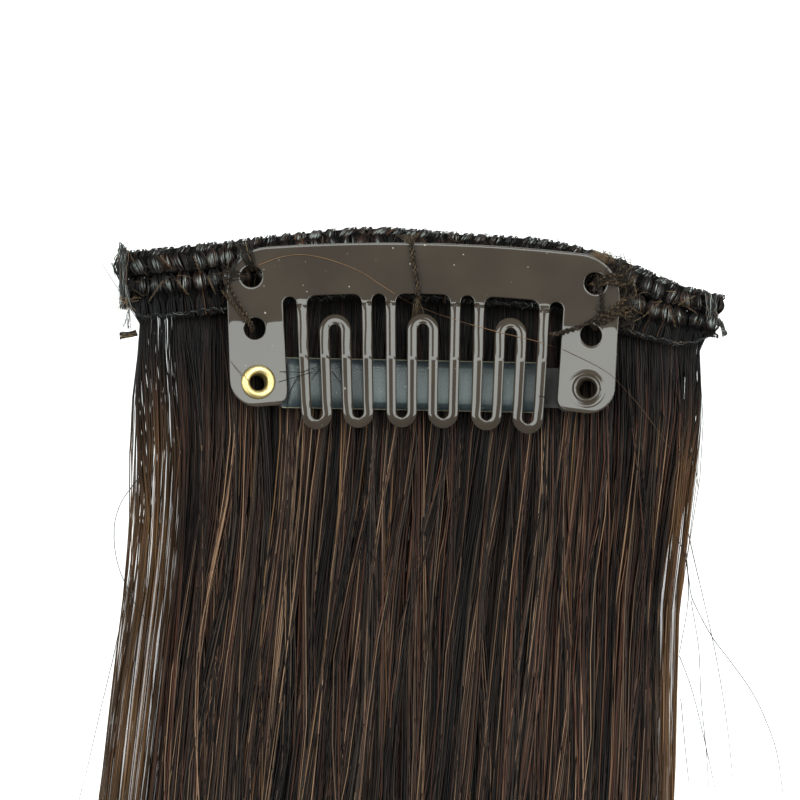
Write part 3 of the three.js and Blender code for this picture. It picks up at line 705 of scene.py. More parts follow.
FINGER_TWIST = np.radians(6.5)

pitch = FINGER + SLOT
loop_pitch = 3 * pitch + FINGER + LOOP_GAP
leg_inner = (3 * loop_pitch + LOOP_GAP) / 2
leg_outer = leg_inner + LEG_WIDTH
hole_u = (leg_inner + leg_outer) / 2 + HOLE_OUTSET
eyelet_v = EYELET_INSET - LEG_DEPTH
bend_outer = (pitch + FINGER) / 2
leg_join = (leg_inner - 0.9 * mm, leg_inner - 0.2 * mm)  # the bar's bow turns into the legs' rise here

bend_run = np.linspace(0, 2 * LEG_DEPTH, 400)
bend_rise = np.concatenate([[0], np.cumsum(np.tan(LEG_TILT * ramp(bend_run[:-1], *LEG_BEND)) * np.diff(bend_run))])


def softened(value, low, high, blur):
    """A straight rise from 0 at low to 1 at high, with its two folds rounded."""
    steps = (np.asarray(value)[..., None] + np.linspace(-blur, blur, 9) - low) / (high - low)
    return np.clip(steps, 0, 1).mean(axis=-1)


def fanned(u, v):
    """The place of a point of the flat pattern, u along the bar and v up from its lower edge."""
    y = v - u**2 / (2 * BOW_RADIUS)
    return u * (1 + v / FAN_RADIUS) + LEAN * y, y


def flattened(x, y):
    """The point of the flat pattern at a place: the reverse of fanned, closed in on."""
    u, v = x, y
    for _ in range(3):
        u = (x - LEAN * y) / (1 + v / FAN_RADIUS)
        v = y + u**2 / (2 * BOW_RADIUS)
    return u, v


def finger_height(x, y):
    u, down = flattened(x, y)[0], -y
    loop = np.clip(np.round(u / loop_pitch), -1, 1)
    across = (u - loop * loop_pitch) / pitch + 0.5
    twist = (across - np.round(across)) * pitch * np.tan(FINGER_TWIST) * loop
    twist = twist * ramp(down, 2.6 * mm, 4.4 * mm) * (1 - ramp(down, 8.9 * mm, 10.2 * mm))
    bow = FINGER_RISE * softened(down, *FINGER_FOLD, FOLD_BLUR) - TIP_DIP * ramp(down / COMB_REACH, 0.88, 1.04)
    return CLIP_SEAT + head_curve(x) + bow + twist


def frame_height(x, y):
    u, v = flattened(x, y)
    leg = CLIP_SEAT + head_curve(x) + np.interp(-y, bend_run, bend_rise)
    edge = leg_outer + LEG_FLARE * (BAR_DEPTH - v) / (BAR_DEPTH + LEG_DEPTH)
    roll = np.clip((np.abs(u) - edge) / LEG_ROLL + 1, 0, 1) ** 2 * ramp(-v, 0, 4 * mm)
    roll = np.maximum(roll, np.clip((-v - LEG_DEPTH) / LEG_ROLL + 1, 0, 1) ** 2)
    leg = leg - LEG_ROLL_DROP * roll
    return mix(finger_height(x, y), leg, ramp(np.abs(u), *leg_join))


def clip_place(x, y, z):
    turned_x = x * np.cos(clip_turn) - y * np.sin(clip_turn)
    turned_y = x * np.sin(clip_turn) + y * np.cos(clip_turn)
    return np.stack([turned_x + clip_middle[0], turned_y + clip_middle[1], z + 0 * x], axis=-1)


def rounded(corners, step=np.pi / 20):
    """Points of a closed outline with rounded corners, and for each whether its next side is a cut."""
    points, cuts = [], []
    for i, (u, v, radius, *cut) in enumerate(corners):
        corner = Vector((u, v))
        before = (Vector(corners[i - 1][:2]) - corner).normalized()
        after = (Vector(corners[(i + 1) % len(corners)][:2]) - corner).normalized()
        if radius == 0:
            points.append((u, v))
        else:
            half = before.angle(after) / 2
            middle = corner + (before + after).normalized() * (radius / np.sin(half))
            start = corner + before * (radius / np.tan(half)) - middle
            sweep = (np.pi - 2 * half) * np.sign(after.x * before.y - after.y * before.x)
            count = max(3, int(np.ceil(abs(sweep) / step)))
            for k in range(count + 1):
                angle = sweep * k / count
                points.append((middle.x + start.x * np.cos(angle) - start.y * np.sin(angle),
                               middle.y + start.x * np.sin(angle) + start.y * np.cos(angle)))
                cuts.append(False)
            cuts.pop()
        cuts.append(bool(cut))
    points = np.array(points)
    keep = np.linalg.norm(points - np.roll(points, -1, axis=0), axis=1) > 1e-6
    return points[keep], np.array(cuts)[keep]


def refined(points, cuts, step):
    """The same outline with long sides divided."""
    out, flags = [], []
    for i in range(len(points)):
        a, b = points[i], points[(i + 1) % len(points)]
        count = max(1, int(np.ceil(np.linalg.norm(b - a) / step)))
        for k in range(count):
            out.append(a + (b - a) * k / count)
            flags.append(cuts[i])
    return np.array(out), np.array(flags)


def inset(points, cuts, depth):
    """The outline moved inwards, except along its cuts."""
    side = np.roll(points, -1, axis=0) - points
    normal = np.stack([-side[:, 1], side[:, 0]], axis=1) / np.linalg.norm(side, axis=1, keepdims=True)
    before = np.roll(normal, 1, axis=0)
    d_after = np.where(cuts, 0, depth)
    d_before = np.roll(d_after, 1)
    det = before[:, 0] * normal[:, 1] - before[:, 1] * normal[:, 0]
    straight = np.abs(det) < 0.02
    safe = np.where(straight, 1, det)
    x = (d_before * normal[:, 1] - d_after * before[:, 1]) / safe
    y = (d_after * before[:, 0] - d_before * normal[:, 0]) / safe
    mean = (normal + before) / np.linalg.norm(normal + before, axis=1, keepdims=True)
    flat = mean * ((d_before + d_after) / 2)[:, None]
    return points + np.where(straight[:, None], flat, np.stack([x, y], axis=1))


def inside(points, outline):
    a, b = outline, np.roll(outline, -1, axis=0)
    px, py = points[:, :1], points[:, 1:]
    crosses = (a[None, :, 1] > py) != (b[None, :, 1] > py)
    rise = np.where(a[:, 1] == b[:, 1], 1, b[:, 1] - a[:, 1])
    at = a[None, :, 0] + (py - a[None, :, 1]) / rise[None, :] * (b[:, 0] - a[:, 0])[None, :]
    return (crosses & (px < at)).sum(axis=1) % 2 == 1


def clearance(points, outline):
    a, b = outline, np.roll(outline, -1, axis=0)
    along = (b - a)[None, :, :]
    reach = points[:, None, :] - a[None, :, :]
    t = np.clip((reach * along).sum(-1) / (along**2).sum(-1), 0, 1)
    return np.linalg.norm(reach - t[..., None] * along, axis=-1).min(axis=1)


def stamped(name, loops, profile, height, swell, material):
    """A thin sheet over flat outlines. The profile gives inset, top and underside from the rim inwards."""
    verts, faces, flats, rings = [], [], [], []
    for points, cuts in loops:
        first = len(verts)
        count = len(points)
        levels = [(depth, under, 0) for depth, top, under, sag in reversed(profile)]
        levels += [(depth, top, sag) for depth, top, under, sag in profile]
        for depth, rise, sag in levels:
            ring = inset(points, cuts, depth)
            x, y = fanned(ring[:, 0], ring[:, 1])
            verts.extend(clip_place(x, y, height(x, y) + rise - sag * swell(ring[:, 1])).tolist())
        for level in range(len(levels) - 1):
            for k in range(count):
                n = (k + 1) % count
                low, high = first + level * count, first + (level + 1) * count
                flats.append(bool(cuts[k]))
                faces.append((low + k, low + n, high + n, high + k))
        innermost = inset(points, cuts, profile[-1][0])
        rings.append((innermost, first, first + (len(levels) - 1) * count))
    outer = rings[0][0]
    low, high = outer.min(axis=0), outer.max(axis=0)
    us, vs = (np.arange(low[k] + GRID / 2, high[k], GRID) for k in (0, 1))
    grid = np.stack(np.meshgrid(us, vs), axis=-1).reshape(-1, 2)
    grid = grid[inside(grid, outer)]
    for ring, _, _ in rings:
        grid = grid[clearance(grid, ring) > 0.45 * GRID]
    for ring, _, _ in rings[1:]:
        grid = grid[~inside(grid, ring)]
    flat, edges = [], []
    for ring, _, _ in rings:
        start = len(flat)
        flat += [Vector(p) for p in ring]
        edges += [(start + k, start + (k + 1) % len(ring)) for k in range(len(ring))]
    rim = len(flat)
    flat += [Vector(p) for p in grid]
    points, _, triangles, origins, _, _ = geometry.delaunay_2d_cdt(flat, edges, [], 2, 1e-9)
    under_at, top_at = {}, {}
    bottoms = np.concatenate([np.arange(b, b + len(r)) for r, b, _ in rings])
    tops = np.concatenate([np.arange(t, t + len(r)) for r, _, t in rings])
    _, top_rise, under_rise, _ = profile[-1]
    for i, point in enumerate(points):
        source = [k for k in origins[i] if k < rim]
        if source:
            under_at[i], top_at[i] = int(bottoms[source[0]]), int(tops[source[0]])
            continue
        x, y = fanned(np.array([point.x]), np.array([point.y]))
        z = height(x, y)
        under_at[i], top_at[i] = len(verts), len(verts) + 1
        verts.extend(clip_place(x, y, z + under_rise).tolist())
        verts.extend(clip_place(x, y, z + top_rise).tolist())
    middles = np.array([np.mean([points[i] for i in triangle], axis=0) for triangle in triangles])
    solid = inside(middles, outer)
    for ring, _, _ in rings[1:]:
        solid &= ~inside(middles, ring)
    for triangle in (triangle for triangle, kept in zip(triangles, solid) if kept):
        faces.append(tuple(top_at[i] for i in triangle))
        faces.append(tuple(under_at[i] for i in reversed(triangle)))
        flats += [False, False]
    mesh = bpy.data.meshes.new(name)
    mesh.from_pydata(verts, [], faces)
    mesh.polygons.foreach_set("use_smooth", [not flat for flat in flats])
    mesh.materials.append(material)
    mesh.update()
    return placed(name, mesh)


def lacquer_shade(tree):
    cloud = tree.noise(160, detail=3)
    specks = tree.noise(2600, detail=1).between(0.76, 0.82)
    peel = tree.noise(900, detail=2)
    base = tree.blend(cloud.between(0.35, 0.65), srgb(41, 34, 26), srgb(48, 41, 32))
    base = tree.blend(specks, base, srgb(150, 146, 138))
    return {
        "Base Color": base,
        "Roughness": 0.42 + cloud * 0.1,
        "Specular IOR Level": 0.06,
        "Coat Weight": 1.0 - specks * 0.7,
        "Coat Roughness": 0.04,
        "Coat IOR": 1.55,
        "Normal": tree.bump(peel, 0.002 * mm, 0.35),
    }


lacquer_material = surface("brown lacquer on steel", lacquer_shade)


def rim_profile(radius, dome, half, steps):
    """Rounded rims, then a face that swells by the dome over half the strip's width."""
    profile = []
    for angle in np.linspace(0, np.pi / 2, 6):
        depth, drop = radius * (1 - np.cos(angle)), radius * (1 - np.sin(angle))
        profile.append((depth, SHEET - drop, drop, dome * (1 - depth / half) ** 2))
    for depth in np.linspace(radius, half, steps + 1)[1:-1]:
        profile.append((depth, SHEET, 0, dome * (1 - depth / half) ** 2))
    return profile


def finger_edge(loop, bar, side):
    return (loop - 1) * loop_pitch + (bar - 1.5) * pitch + side * FINGER / 2


frame_corners = [
    (-leg_outer, BAR_DEPTH, TOP_CORNER),
    (-leg_outer - LEG_FLARE, -LEG_DEPTH, OUTER_CORNER),
    (-leg_inner, -LEG_DEPTH, INNER_CORNER),
    (-leg_inner, 0, LOOP_GAP / 2),
]
for loop in range(3):
    frame_corners += [
        (finger_edge(loop, 0, -1), 0, LOOP_GAP / 2),
        (finger_edge(loop, 0, -1), ROOT, 0, True),
        (finger_edge(loop, 0, 1), ROOT, 0),
        (finger_edge(loop, 0, 1), 0, WINDOW_CORNER),
        (finger_edge(loop, 3, -1), 0, WINDOW_CORNER),
        (finger_edge(loop, 3, -1), ROOT, 0, True),
        (finger_edge(loop, 3, 1), ROOT, 0),
        (finger_edge(loop, 3, 1), 0, LOOP_GAP / 2),
    ]
frame_corners += [
    (leg_inner, 0, LOOP_GAP / 2),
    (leg_inner, -LEG_DEPTH, INNER_CORNER),
    (leg_outer + LEG_FLARE, -LEG_DEPTH, OUTER_CORNER),
    (leg_outer, BAR_DEPTH, TOP_CORNER),
]


def round_hole(u, v, radius, sides=40):
    angle = -np.linspace(0, 2 * np.pi, sides, endpoint=False)
    points = np.stack([u + radius * np.cos(angle), v + radius * np.sin(angle)], axis=1)
    return points, np.zeros(sides, dtype=bool)


frame_loops = [refined(*rounded(frame_corners), GRID)]
for side in (-1, 1):
    frame_loops += [round_hole(side * hole_u, v, SEWING_HOLE) for v in HOLE_ROWS]
    frame_loops.append(round_hole(side * hole_u, eyelet_v, EYELET_HOLE))
frame_profile = rim_profile(RIM, FRAME_DOME, FINGER / 2, 5)
clip_sheet = stamped("clip_sheet", frame_loops, frame_profile, frame_height, np.ones_like, lacquer_material)
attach(clip_sheet, "weft")
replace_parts(clip_sheet, "clip_frame")

finger_profile = rim_profile(RIM, FINGER_DOME, FINGER / 2, 7)


def finger_swell(v):
    """A finger starts as flat as the bar and swells over its first stretch."""
    return mix(FRAME_DOME / FINGER_DOME, 1, ramp(-v, -ROOT, -ROOT + SWELL_RUN))


comb_pieces = []
for loop, side in enumerate(("left", "middle", "right")):
    comb_corners = [
        (finger_edge(loop, 0, -1), ROOT, 0),
        (finger_edge(loop, 0, -1), -COMB_REACH, bend_outer),
        (finger_edge(loop, 1, 1), -COMB_REACH, bend_outer),
        (finger_edge(loop, 1, 1), -POCKET_DEPTH - FINGER, SLOT / 2),
        (finger_edge(loop, 2, -1), -POCKET_DEPTH - FINGER, SLOT / 2),
        (finger_edge(loop, 2, -1), -COMB_REACH, bend_outer),
        (finger_edge(loop, 3, 1), -COMB_REACH, bend_outer),
        (finger_edge(loop, 3, 1), ROOT, 0, True),
        (finger_edge(loop, 3, -1), ROOT, 0),
        (finger_edge(loop, 3, -1), -COMB_REACH + FINGER, SLOT / 2),
        (finger_edge(loop, 2, 1), -COMB_REACH + FINGER, SLOT / 2),
        (finger_edge(loop, 2, 1), -POCKET_DEPTH, bend_outer),
        (finger_edge(loop, 1, -1), -POCKET_DEPTH, bend_outer),
        (finger_edge(loop, 1, -1), -COMB_REACH + FINGER, SLOT / 2),
        (finger_edge(loop, 0, 1), -COMB_REACH + FINGER, SLOT / 2),
        (finger_edge(loop, 0, 1), ROOT, 0, True),
    ]
    comb_loop = refined(*rounded(comb_corners, np.pi / 24), 0.3 * mm)
    name = f"comb_fingers_{side}"
    piece = stamped(name, [comb_loop], finger_profile, finger_height, finger_swell, lacquer_material)
    spring_start, spring_end = (clip_place(np.array([0.0]), np.array([v]), 4 * mm)[0] for v in (ROOT, 2.4 * ROOT))
    tuple(spring_start)
    tuple(spring_end)
    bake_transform(piece)
    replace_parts(piece, f"comb_loop_{side}")
    comb_pieces.append(piece)


# Grip: a flat strip of the same steel runs behind the fingers, inside a clear silicone tube that grips the hair.
# The tube is an oval sleeve whose left end, cut slanted, is tucked under the leg. Dust clings to it.
STRIP_WIDTH = 3.3 * mm
STRIP_DROP = 0.6 * mm  # the strip lies this far below the legs
SLEEVE_SIDE = 0.45 * mm
SLEEVE_WALL = 0.33 * mm
SLEEVE_TUCK = 0.75 * mm
SLEEVE_RIGHT_MARGIN = 1.25 * mm

strip_y = float(fanned(hole_u, eyelet_v)[1])


def worn_shade(tree):
    scuff = tree.noise(500, detail=4)
    specks = tree.noise(2200, detail=2).between(0.7, 0.78)
    base = tree.blend(scuff.between(0.3, 0.7), srgb(24, 23, 22), srgb(42, 41, 40))
    base = tree.blend(specks, base, srgb(120, 120, 118))
    bump = tree.bump(scuff, 0.01 * mm, 0.5)
    return {"Base Color": base, "Roughness": 0.5 + scuff * 0.2, "Specular IOR Level": 0.15, "Normal": bump}


strip = frame["nodes"]["grip_strip"]
strip.data.materials.clear()
strip.data.materials.append(surface("worn lacquer", worn_shade))


def silicone_shade(tree):
    """The wall is seen edge on along both sides: painted shade darkens it there, and a painted highlight makes a pale
    line at its brink.
    """
    milk = tree.noise(130, detail=5, stretch=(1, 0.4, 1))
    dust = tree.noise(2600, detail=1).between(0.77, 0.82)
    beside = tree.attribute("beside")
    base = tree.blend(milk.between(0.4, 0.62), srgb(34, 41, 43), srgb(88, 98, 97))
    # Painted shade along both sides, then a painted highlight line at the brink.
    base = tree.blend(beside.between(0.66, 0.74), base, srgb(42, 51, 54))
    base = tree.blend(beside.between(0.955, 0.985), base, srgb(158, 154, 128))
    base = tree.blend(dust, base, srgb(205, 210, 210))
    return {
        "Base Color": base,
        "Roughness": 0.3 + milk * 0.15,
        "IOR": 1.41,
        "Alpha": 0.68 + dust * 0.3 + beside.between(0.9, 1.0) * 0.2,
        "Specular IOR Level": 0.3,
        "Coat Weight": 0.25,
        "Coat Roughness": 0.2,
        "Normal": tree.bump(milk, 0.01 * mm, 0.06),
    }


silicone_material = surface("milky silicone", silicone_shade)


def tube_ring(sides, wall):
    angle = np.linspace(0, 2 * np.pi, sides, endpoint=False)
    across, upward = np.cos(angle), np.sin(angle)
    half_width = STRIP_WIDTH / 2 + SLEEVE_SIDE - wall
    half_height = SHEET / 2 + SLEEVE_SIDE - wall
    y = np.sign(across) * np.abs(across) ** 0.55 * half_width
    return y, np.sign(upward) * np.abs(upward) ** 0.65 * half_height


def sleeve_mesh(name, sides=48, rings=60):
    """The tube, bent with the strip; its left end is pressed flat between the leg and the strip."""
    left_leg, right_leg = (float(fanned(side * leg_inner, eyelet_v)[0]) for side in (-1, 1))
    left, right = left_leg - SLEEVE_TUCK, right_leg - SLEEVE_RIGHT_MARGIN
    shares = np.concatenate([[0, 0.002], np.linspace(0.006, 0.994, rings - 4), [0.998, 1]])
    pinch = np.array([0.12, 0.04] + [0] * (rings - 4) + [0.04, 0.12]) * mm
    verts, besides = [], []
    for wall in (0, SLEEVE_WALL):
        for share, tuck in zip(shares, pinch):
            y, rise = tube_ring(sides, wall + tuck * (1 if wall == 0 else -0.5))
            lean = y / (STRIP_WIDTH / 2 + SLEEVE_SIDE)
            cut = -0.15 * mm + 0.45 * mm * ramp(-lean, 0.35, 1)
            x = mix(left, right, share) + cut * (1 - share) ** 8
            under = CLIP_SEAT + head_curve(x) + np.interp(-(strip_y + y), bend_run, bend_rise) - STRIP_DROP
            z = under + SHEET / 2 + rise
            pressed = np.minimum(z, frame_height(x, strip_y + y) - (0.03 * mm if wall == 0 else 0.06 * mm))
            z = mix(pressed, z, ramp(x, left_leg, left_leg + 0.5 * mm))
            verts.append(clip_place(x, strip_y + y, z))
            besides.append(np.abs(lean))
    count = len(shares)
    faces = []
    for i in range(count - 1):
        for k in range(sides):
            n = (k + 1) % sides
            a, b = i * sides, (i + 1) * sides
            faces.append((a + k, b + k, b + n, a + n))
            a, b = a + count * sides, b + count * sides
            faces.append((a + k, a + n, b + n, b + k))
    for k in range(sides):
        n = (k + 1) % sides
        inner = count * sides
        faces.append((k, n, inner + n, inner + k))
        last = (count - 1) * sides
        faces.append((last + k, inner + last + k, inner + last + n, last + n))
    piece = smooth_solid(name, np.concatenate(verts), faces, silicone_material)
    piece.data.attributes.new("beside", "FLOAT", "POINT").data.foreach_set("value", np.concatenate(besides))
    return piece


sleeve = sleeve_mesh("silicone_tube")
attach(sleeve, "weft")
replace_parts(sleeve, "grip_sleeve")


# Eyelets: hollow rivets through each leg and the strip behind it. The left one is bare brass with a rolled rim,
# and the right one was lacquered with the clip.
def brass_shade(tree):
    cloud = tree.noise(700, detail=3)
    rubbed = tree.noise(2500, detail=2, stretch=(1, 1, 0.3))
    base = tree.blend(cloud.between(0.3, 0.7), srgb(186, 168, 112), srgb(214, 198, 146))
    return {
        "Base Color": base,
        "Metallic": 1.0,
        "Roughness": 0.34 + rubbed * 0.16,
        "Normal": tree.bump(rubbed, 0.004 * mm, 0.4),
    }


brass_material = surface("bare brass", brass_shade)

BRASS_RIM = [
    (1.42, 0.0), (1.42, 0.06), (1.39, 0.15), (1.32, 0.24), (1.22, 0.31), (1.1, 0.345), (0.98, 0.34),
    (0.87, 0.3), (0.78, 0.22), (0.72, 0.1), (0.69, -0.06), (0.69, -0.3),
]
LACQUERED_RIM = [
    (1.62, -0.02), (1.57, 0.02), (1.48, 0.03), (1.3, 0.03), (1.2, 0.05), (1.13, 0.12), (1.07, 0.2), (1.0, 0.25),
    (0.93, 0.24), (0.86, 0.18), (0.8, 0.08), (0.75, -0.05), (0.7, -0.3),
]
BACK_RIM = [(0.69, -1.38), (0.8, -1.42), (1.1, -1.42), (1.35, -1.38), (1.4, -1.3), (1.35, -1.22), (0.95, -1.2)]


def eyelet(name, side, rim, material, node, sides=72):
    x, y = (np.array([float(value)]) for value in fanned(side * hole_u, eyelet_v))
    step = 0.05 * mm
    slope_x = (frame_height(x + step, y) - frame_height(x - step, y)) / (2 * step)
    slope_y = (frame_height(x, y + step) - frame_height(x, y - step)) / (2 * step)
    profile = np.array(rim + BACK_RIM + [(0.95, -0.02)]) * mm
    angle = np.linspace(0, 2 * np.pi, sides, endpoint=False)[:, None]
    out_x, out_y = profile[None, :, 0] * np.cos(angle), profile[None, :, 0] * np.sin(angle)
    rise = profile[None, :, 1] + out_x * slope_x + out_y * slope_y
    shift_x, shift_y = -slope_x * profile[None, :, 1], -slope_y * profile[None, :, 1]
    places = clip_place(x + out_x + shift_x, y + out_y + shift_y, frame_height(x, y) + SHEET + rise)
    count = len(profile)
    faces = []
    for i in range(sides):
        for k in range(count):
            a, b = i * count + k, i * count + (k + 1) % count
            c, d = ((i + 1) % sides) * count + (k + 1) % count, ((i + 1) % sides) * count + k
            faces.append((a, d, c, b))
    piece = smooth_solid(name, places, faces, material)
    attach(piece, "weft")
    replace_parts(piece, node)
    return piece


eyelets = [
    eyelet("brass_rivet", -1, BRASS_RIM, brass_material, "brass_eyelet"),
    eyelet("lacquered_rivet", 1, LACQUERED_RIM, lacquer_material, "lacquered_eyelet"),
]

# Sewing: twisted brown thread goes through each hole of the legs and over the clip's edge, once more round
# the middle of the bar, and its worn fibres fuzz out all round. Points are millimetres from the weft's middle.


def curve_through(points, t):
    """A smooth curve through points, at shares t of its length."""
    points = np.asarray(points, dtype=float)
    padded = np.concatenate([[2 * points[0] - points[1]], points, [2 * points[-1] - points[-2]]])
    fine = []
    for i in range(len(points) - 1):
        p0, p1, p2, p3 = padded[i : i + 4]
        s = np.linspace(0, 1, 12, endpoint=i == len(points) - 2)[:, None]
        square = (2 * p0 - 5 * p1 + 4 * p2 - p3) * s**2
        cubic = (3 * p1 - p0 - 3 * p2 + p3) * s**3
        fine.append(0.5 * (2 * p1 + (p2 - p0) * s + square + cubic))
    fine = np.concatenate(fine)
    run = np.concatenate([[0], np.cumsum(np.linalg.norm(np.diff(fine, axis=0), axis=1))])
    return np.stack([np.interp(t * run[-1], run, fine[:, k]) for k in range(3)], axis=-1)


def on_clip(points):
    """Points of x, y and height over the clip's underside, in millimetres, as places."""
    points = np.asarray(points, dtype=float) * mm
    x, y = points[..., 0], points[..., 1]
    across = (x - clip_shift) * np.cos(clip_turn) + y * np.sin(clip_turn)
    along = y * np.cos(clip_turn) - (x - clip_shift) * np.sin(clip_turn)
    leg = np.interp(-along, bend_run, bend_rise)
    leg = leg * ramp(np.abs(flattened(across, along)[0]), *leg_join)
    return in_place(x, y, CLIP_SEAT + head_curve(across) + leg + points[..., 2])


def along_points(points):
    def line(t, across, upward):
        middle = curve_through(points, t)
        ahead = curve_through(points, np.clip(t + 0.01, 0, 1)) - curve_through(points, np.clip(t - 0.01, 0, 1))
        ahead = ahead / np.maximum(np.linalg.norm(ahead, axis=-1, keepdims=True), 1e-9)
        side = np.stack([-ahead[..., 1], ahead[..., 0], 0 * t], axis=-1)
        side = side / np.maximum(np.linalg.norm(side, axis=-1, keepdims=True), 1e-6)
        lift = np.cross(ahead, side)
        offset = side * (across / mm)[..., None] + lift * (upward / mm)[..., None]
        return on_clip(middle + offset)

    return line


THREADS = [
    # name, plies, fibres in a ply, ply radius, twist radius, turns, points of x, y and height over the underside
    ("left_a", 2, 9, 0.1, 0.1, 6, [
        (-16.35, 1.3, -0.2), (-16.05, 0.9, 0.55), (-15.3, -0.4, 0.68), (-14.5, -1.7, 0.7), (-14.1, -2.4, 0.5),
        (-13.9, -2.9, -0.3),
    ]),
    ("left_b", 2, 9, 0.1, 0.1, 6, [
        (-16.45, 0.3, -0.2), (-16.15, -0.1, 0.55), (-15.2, -1.2, 0.66), (-14.6, -2.0, 0.68), (-14.2, -2.6, 0.4),
        (-14.0, -3.1, -0.3),
    ]),
    ("right_chain", 2, 12, 0.12, 0.12, 6, [
        (14.4, 1.0, -0.4), (14.62, 1.35, 0.45), (14.8, 0.5, 0.72), (14.9, -0.5, 0.72), (14.85, -1.6, 0.72),
        (14.6, -2.4, 0.6), (14.3, -2.9, -0.3),
    ]),
    ("right_wrap_a", 2, 12, 0.15, 0.13, 4, [
        (14.4, 0.9, -0.4), (14.9, 1.3, 0.6), (15.6, 1.5, 0.72), (16.2, 1.5, 0.55), (16.7, 1.4, -0.1),
    ]),
    ("right_wrap_b", 2, 12, 0.15, 0.13, 4, [
        (14.5, 0.7, -0.4), (15.0, 0.85, 0.6), (15.7, 0.9, 0.72), (16.35, 0.8, 0.55), (16.9, 0.7, -0.1),
    ]),
    ("right_wrap_c", 2, 14, 0.17, 0.15, 4, [
        (14.2, -2.7, -0.4), (14.5, -2.2, 0.6), (15.2, -1.75, 0.75), (16.2, -1.0, 0.6), (16.9, -0.4, -0.1),
    ]),
    ("right_wrap_d", 2, 14, 0.17, 0.15, 4, [
        (14.4, -2.9, -0.4), (14.8, -2.4, 0.6), (15.5, -2.1, 0.75), (16.4, -1.5, 0.55), (17.0, -1.1, -0.1),
    ]),
    ("right_tail", 2, 14, 0.13, 0.11, 5, [
        (14.9, -1.9, 0.72), (14.3, -2.1, 0.78), (13.1, -2.72, 0.76), (12.0, -3.05, 0.78), (11.2, -3.3, 0.9),
        (10.85, -3.45, 0.85),
    ]),
    ("middle_a", 3, 8, 0.1, 0.13, 5, [
        (-0.95, 4.9, -0.5), (-0.88, 4.4, 0.5), (-0.75, 3.4, 0.7), (-0.55, 2.1, 0.72), (-0.35, 0.8, 0.72),
        (-0.28, -0.1, 0.6), (-0.25, -0.6, -0.3),
    ]),
    ("middle_b", 2, 7, 0.08, 0.1, 5, [
        (-0.7, 4.9, -0.5), (-0.72, 4.4, 0.5), (-0.6, 3.4, 0.66), (-0.4, 2.1, 0.68), (-0.2, 0.8, 0.68),
        (-0.12, -0.1, 0.55), (-0.15, -0.6, -0.3),
    ]),
]
THREAD_NODES = {
    "left_a": "thread_left_upper",
    "left_b": "thread_left_lower",
    "right_wrap_a": "thread_right_upper",
    "right_wrap_c": "thread_right_lower",
    "middle_a": "thread_middle",
}
rng = np.random.default_rng(29)
for name, plies, fibres, ply_radius, helix_radius, turns, points in THREADS:
    line = along_points(points)
    paths = cord_of_strands(rng, line, plies, fibres, ply_radius * mm, helix_radius * mm, turns, 0.15)
    piece = sewn(f"thread_{name}_twist", paths, thread_material, 0.05 * mm, 31 + len(name), light=0.4)
    if name in THREAD_NODES:
        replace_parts(piece, THREAD_NODES[name])


def fan_of_fibres(rng, count, starts, ends, arch, steps=10, wander=0.06):
    """Loose fibres from one line of points to another, arched up in between."""
    t = np.linspace(0, 1, steps)[None, :, None]
    pick, pick_end = rng.uniform(0, 1, (count, 1)), rng.uniform(0, 1, (count, 1))
    start = mix(np.array(starts[0]), np.array(starts[1]), pick)[:, None, :]
    end = mix(np.array(ends[0]), np.array(ends[1]), pick_end)[:, None, :]
    rise = np.array([0, 0, 1]) * arch * np.sin(np.pi * t) ** 0.6
    path = mix(start, end, t) + rise * rng.uniform(0.7, 1.2, (count, 1, 1))
    for waves in (1, 2, 3):
        phase = rng.uniform(0, 2 * np.pi, (count, 1, 3))
        path = path + wander / waves * np.sin(2 * np.pi * waves * t + phase) * rng.uniform(0, 1, (count, 1, 3))
    return on_clip(path)


def curly_fibres(rng, count, low, high, length, floor, rise, steps=7):
    """Short frizzy fibres scattered over an oblong."""
    seed_point = rng.uniform((low[0], low[1]), (high[0], high[1]), (count, 2))
    heading = rng.uniform(0, 2 * np.pi, (count, 1)) + np.cumsum(rng.normal(0, 0.55, (count, steps)), axis=1)
    stride = length * rng.uniform(0.5, 1.3, (count, 1)) / steps
    x = seed_point[:, :1] + np.cumsum(np.cos(heading) * stride, axis=1)
    y = seed_point[:, 1:] + np.cumsum(np.sin(heading) * stride, axis=1)
    z = floor + rise * rng.uniform(0, 1, (count, 1))
    z = z + 0.12 * np.cumsum(rng.normal(0, 0.25, (count, steps)), axis=1)
    return on_clip(np.stack([x, y, z], axis=-1))


rng = np.random.default_rng(43)
left_fan = np.concatenate([
    fan_of_fibres(rng, 34, [(-14.3, 1.9, 0.1), (-13.5, 1.9, 0.1)], [(-15.4, 4.1, 0.0), (-13.9, 4.5, 0.0)], 0.6),
    fan_of_fibres(
        rng, 26, [(-14.5, 1.7, 0.0), (-14.3, 1.2, 0.0)], [(-16.3, 2.6, -0.1), (-16.2, 0.7, -0.1)], 0.62
    ),
    fan_of_fibres(
        rng, 22, [(-15.5, 2.6, 0.62), (-14.9, 3.3, 0.6)], [(-16.4, -0.4, 0.0), (-15.9, 0.4, 0.5)], 0.2
    ),
])
sewn("thread_left_fan", left_fan, thread_material, 0.055 * mm, 45, light=0.25, gilt=0.06)
right_fan = np.concatenate([
    fan_of_fibres(
        rng, 30, [(14.7, 1.4, 0.1), (15.0, 0.7, 0.1)], [(16.6, 2.0, -0.1), (16.8, 0.4, -0.1)], 0.66, wander=0.12
    ),
    fan_of_fibres(
        rng, 40, [(14.2, -2.4, 0.1), (14.9, -2.6, 0.1)], [(16.8, -0.6, -0.1), (16.8, -1.9, -0.1)], 0.66, wander=0.14
    ),
    fan_of_fibres(
        rng, 16, [(11.4, -3.2, 0.8), (11.2, -3.3, 0.8)], [(10.4, -3.2, 0.7), (10.6, -4.0, 0.6)], 0.05
    ),
])
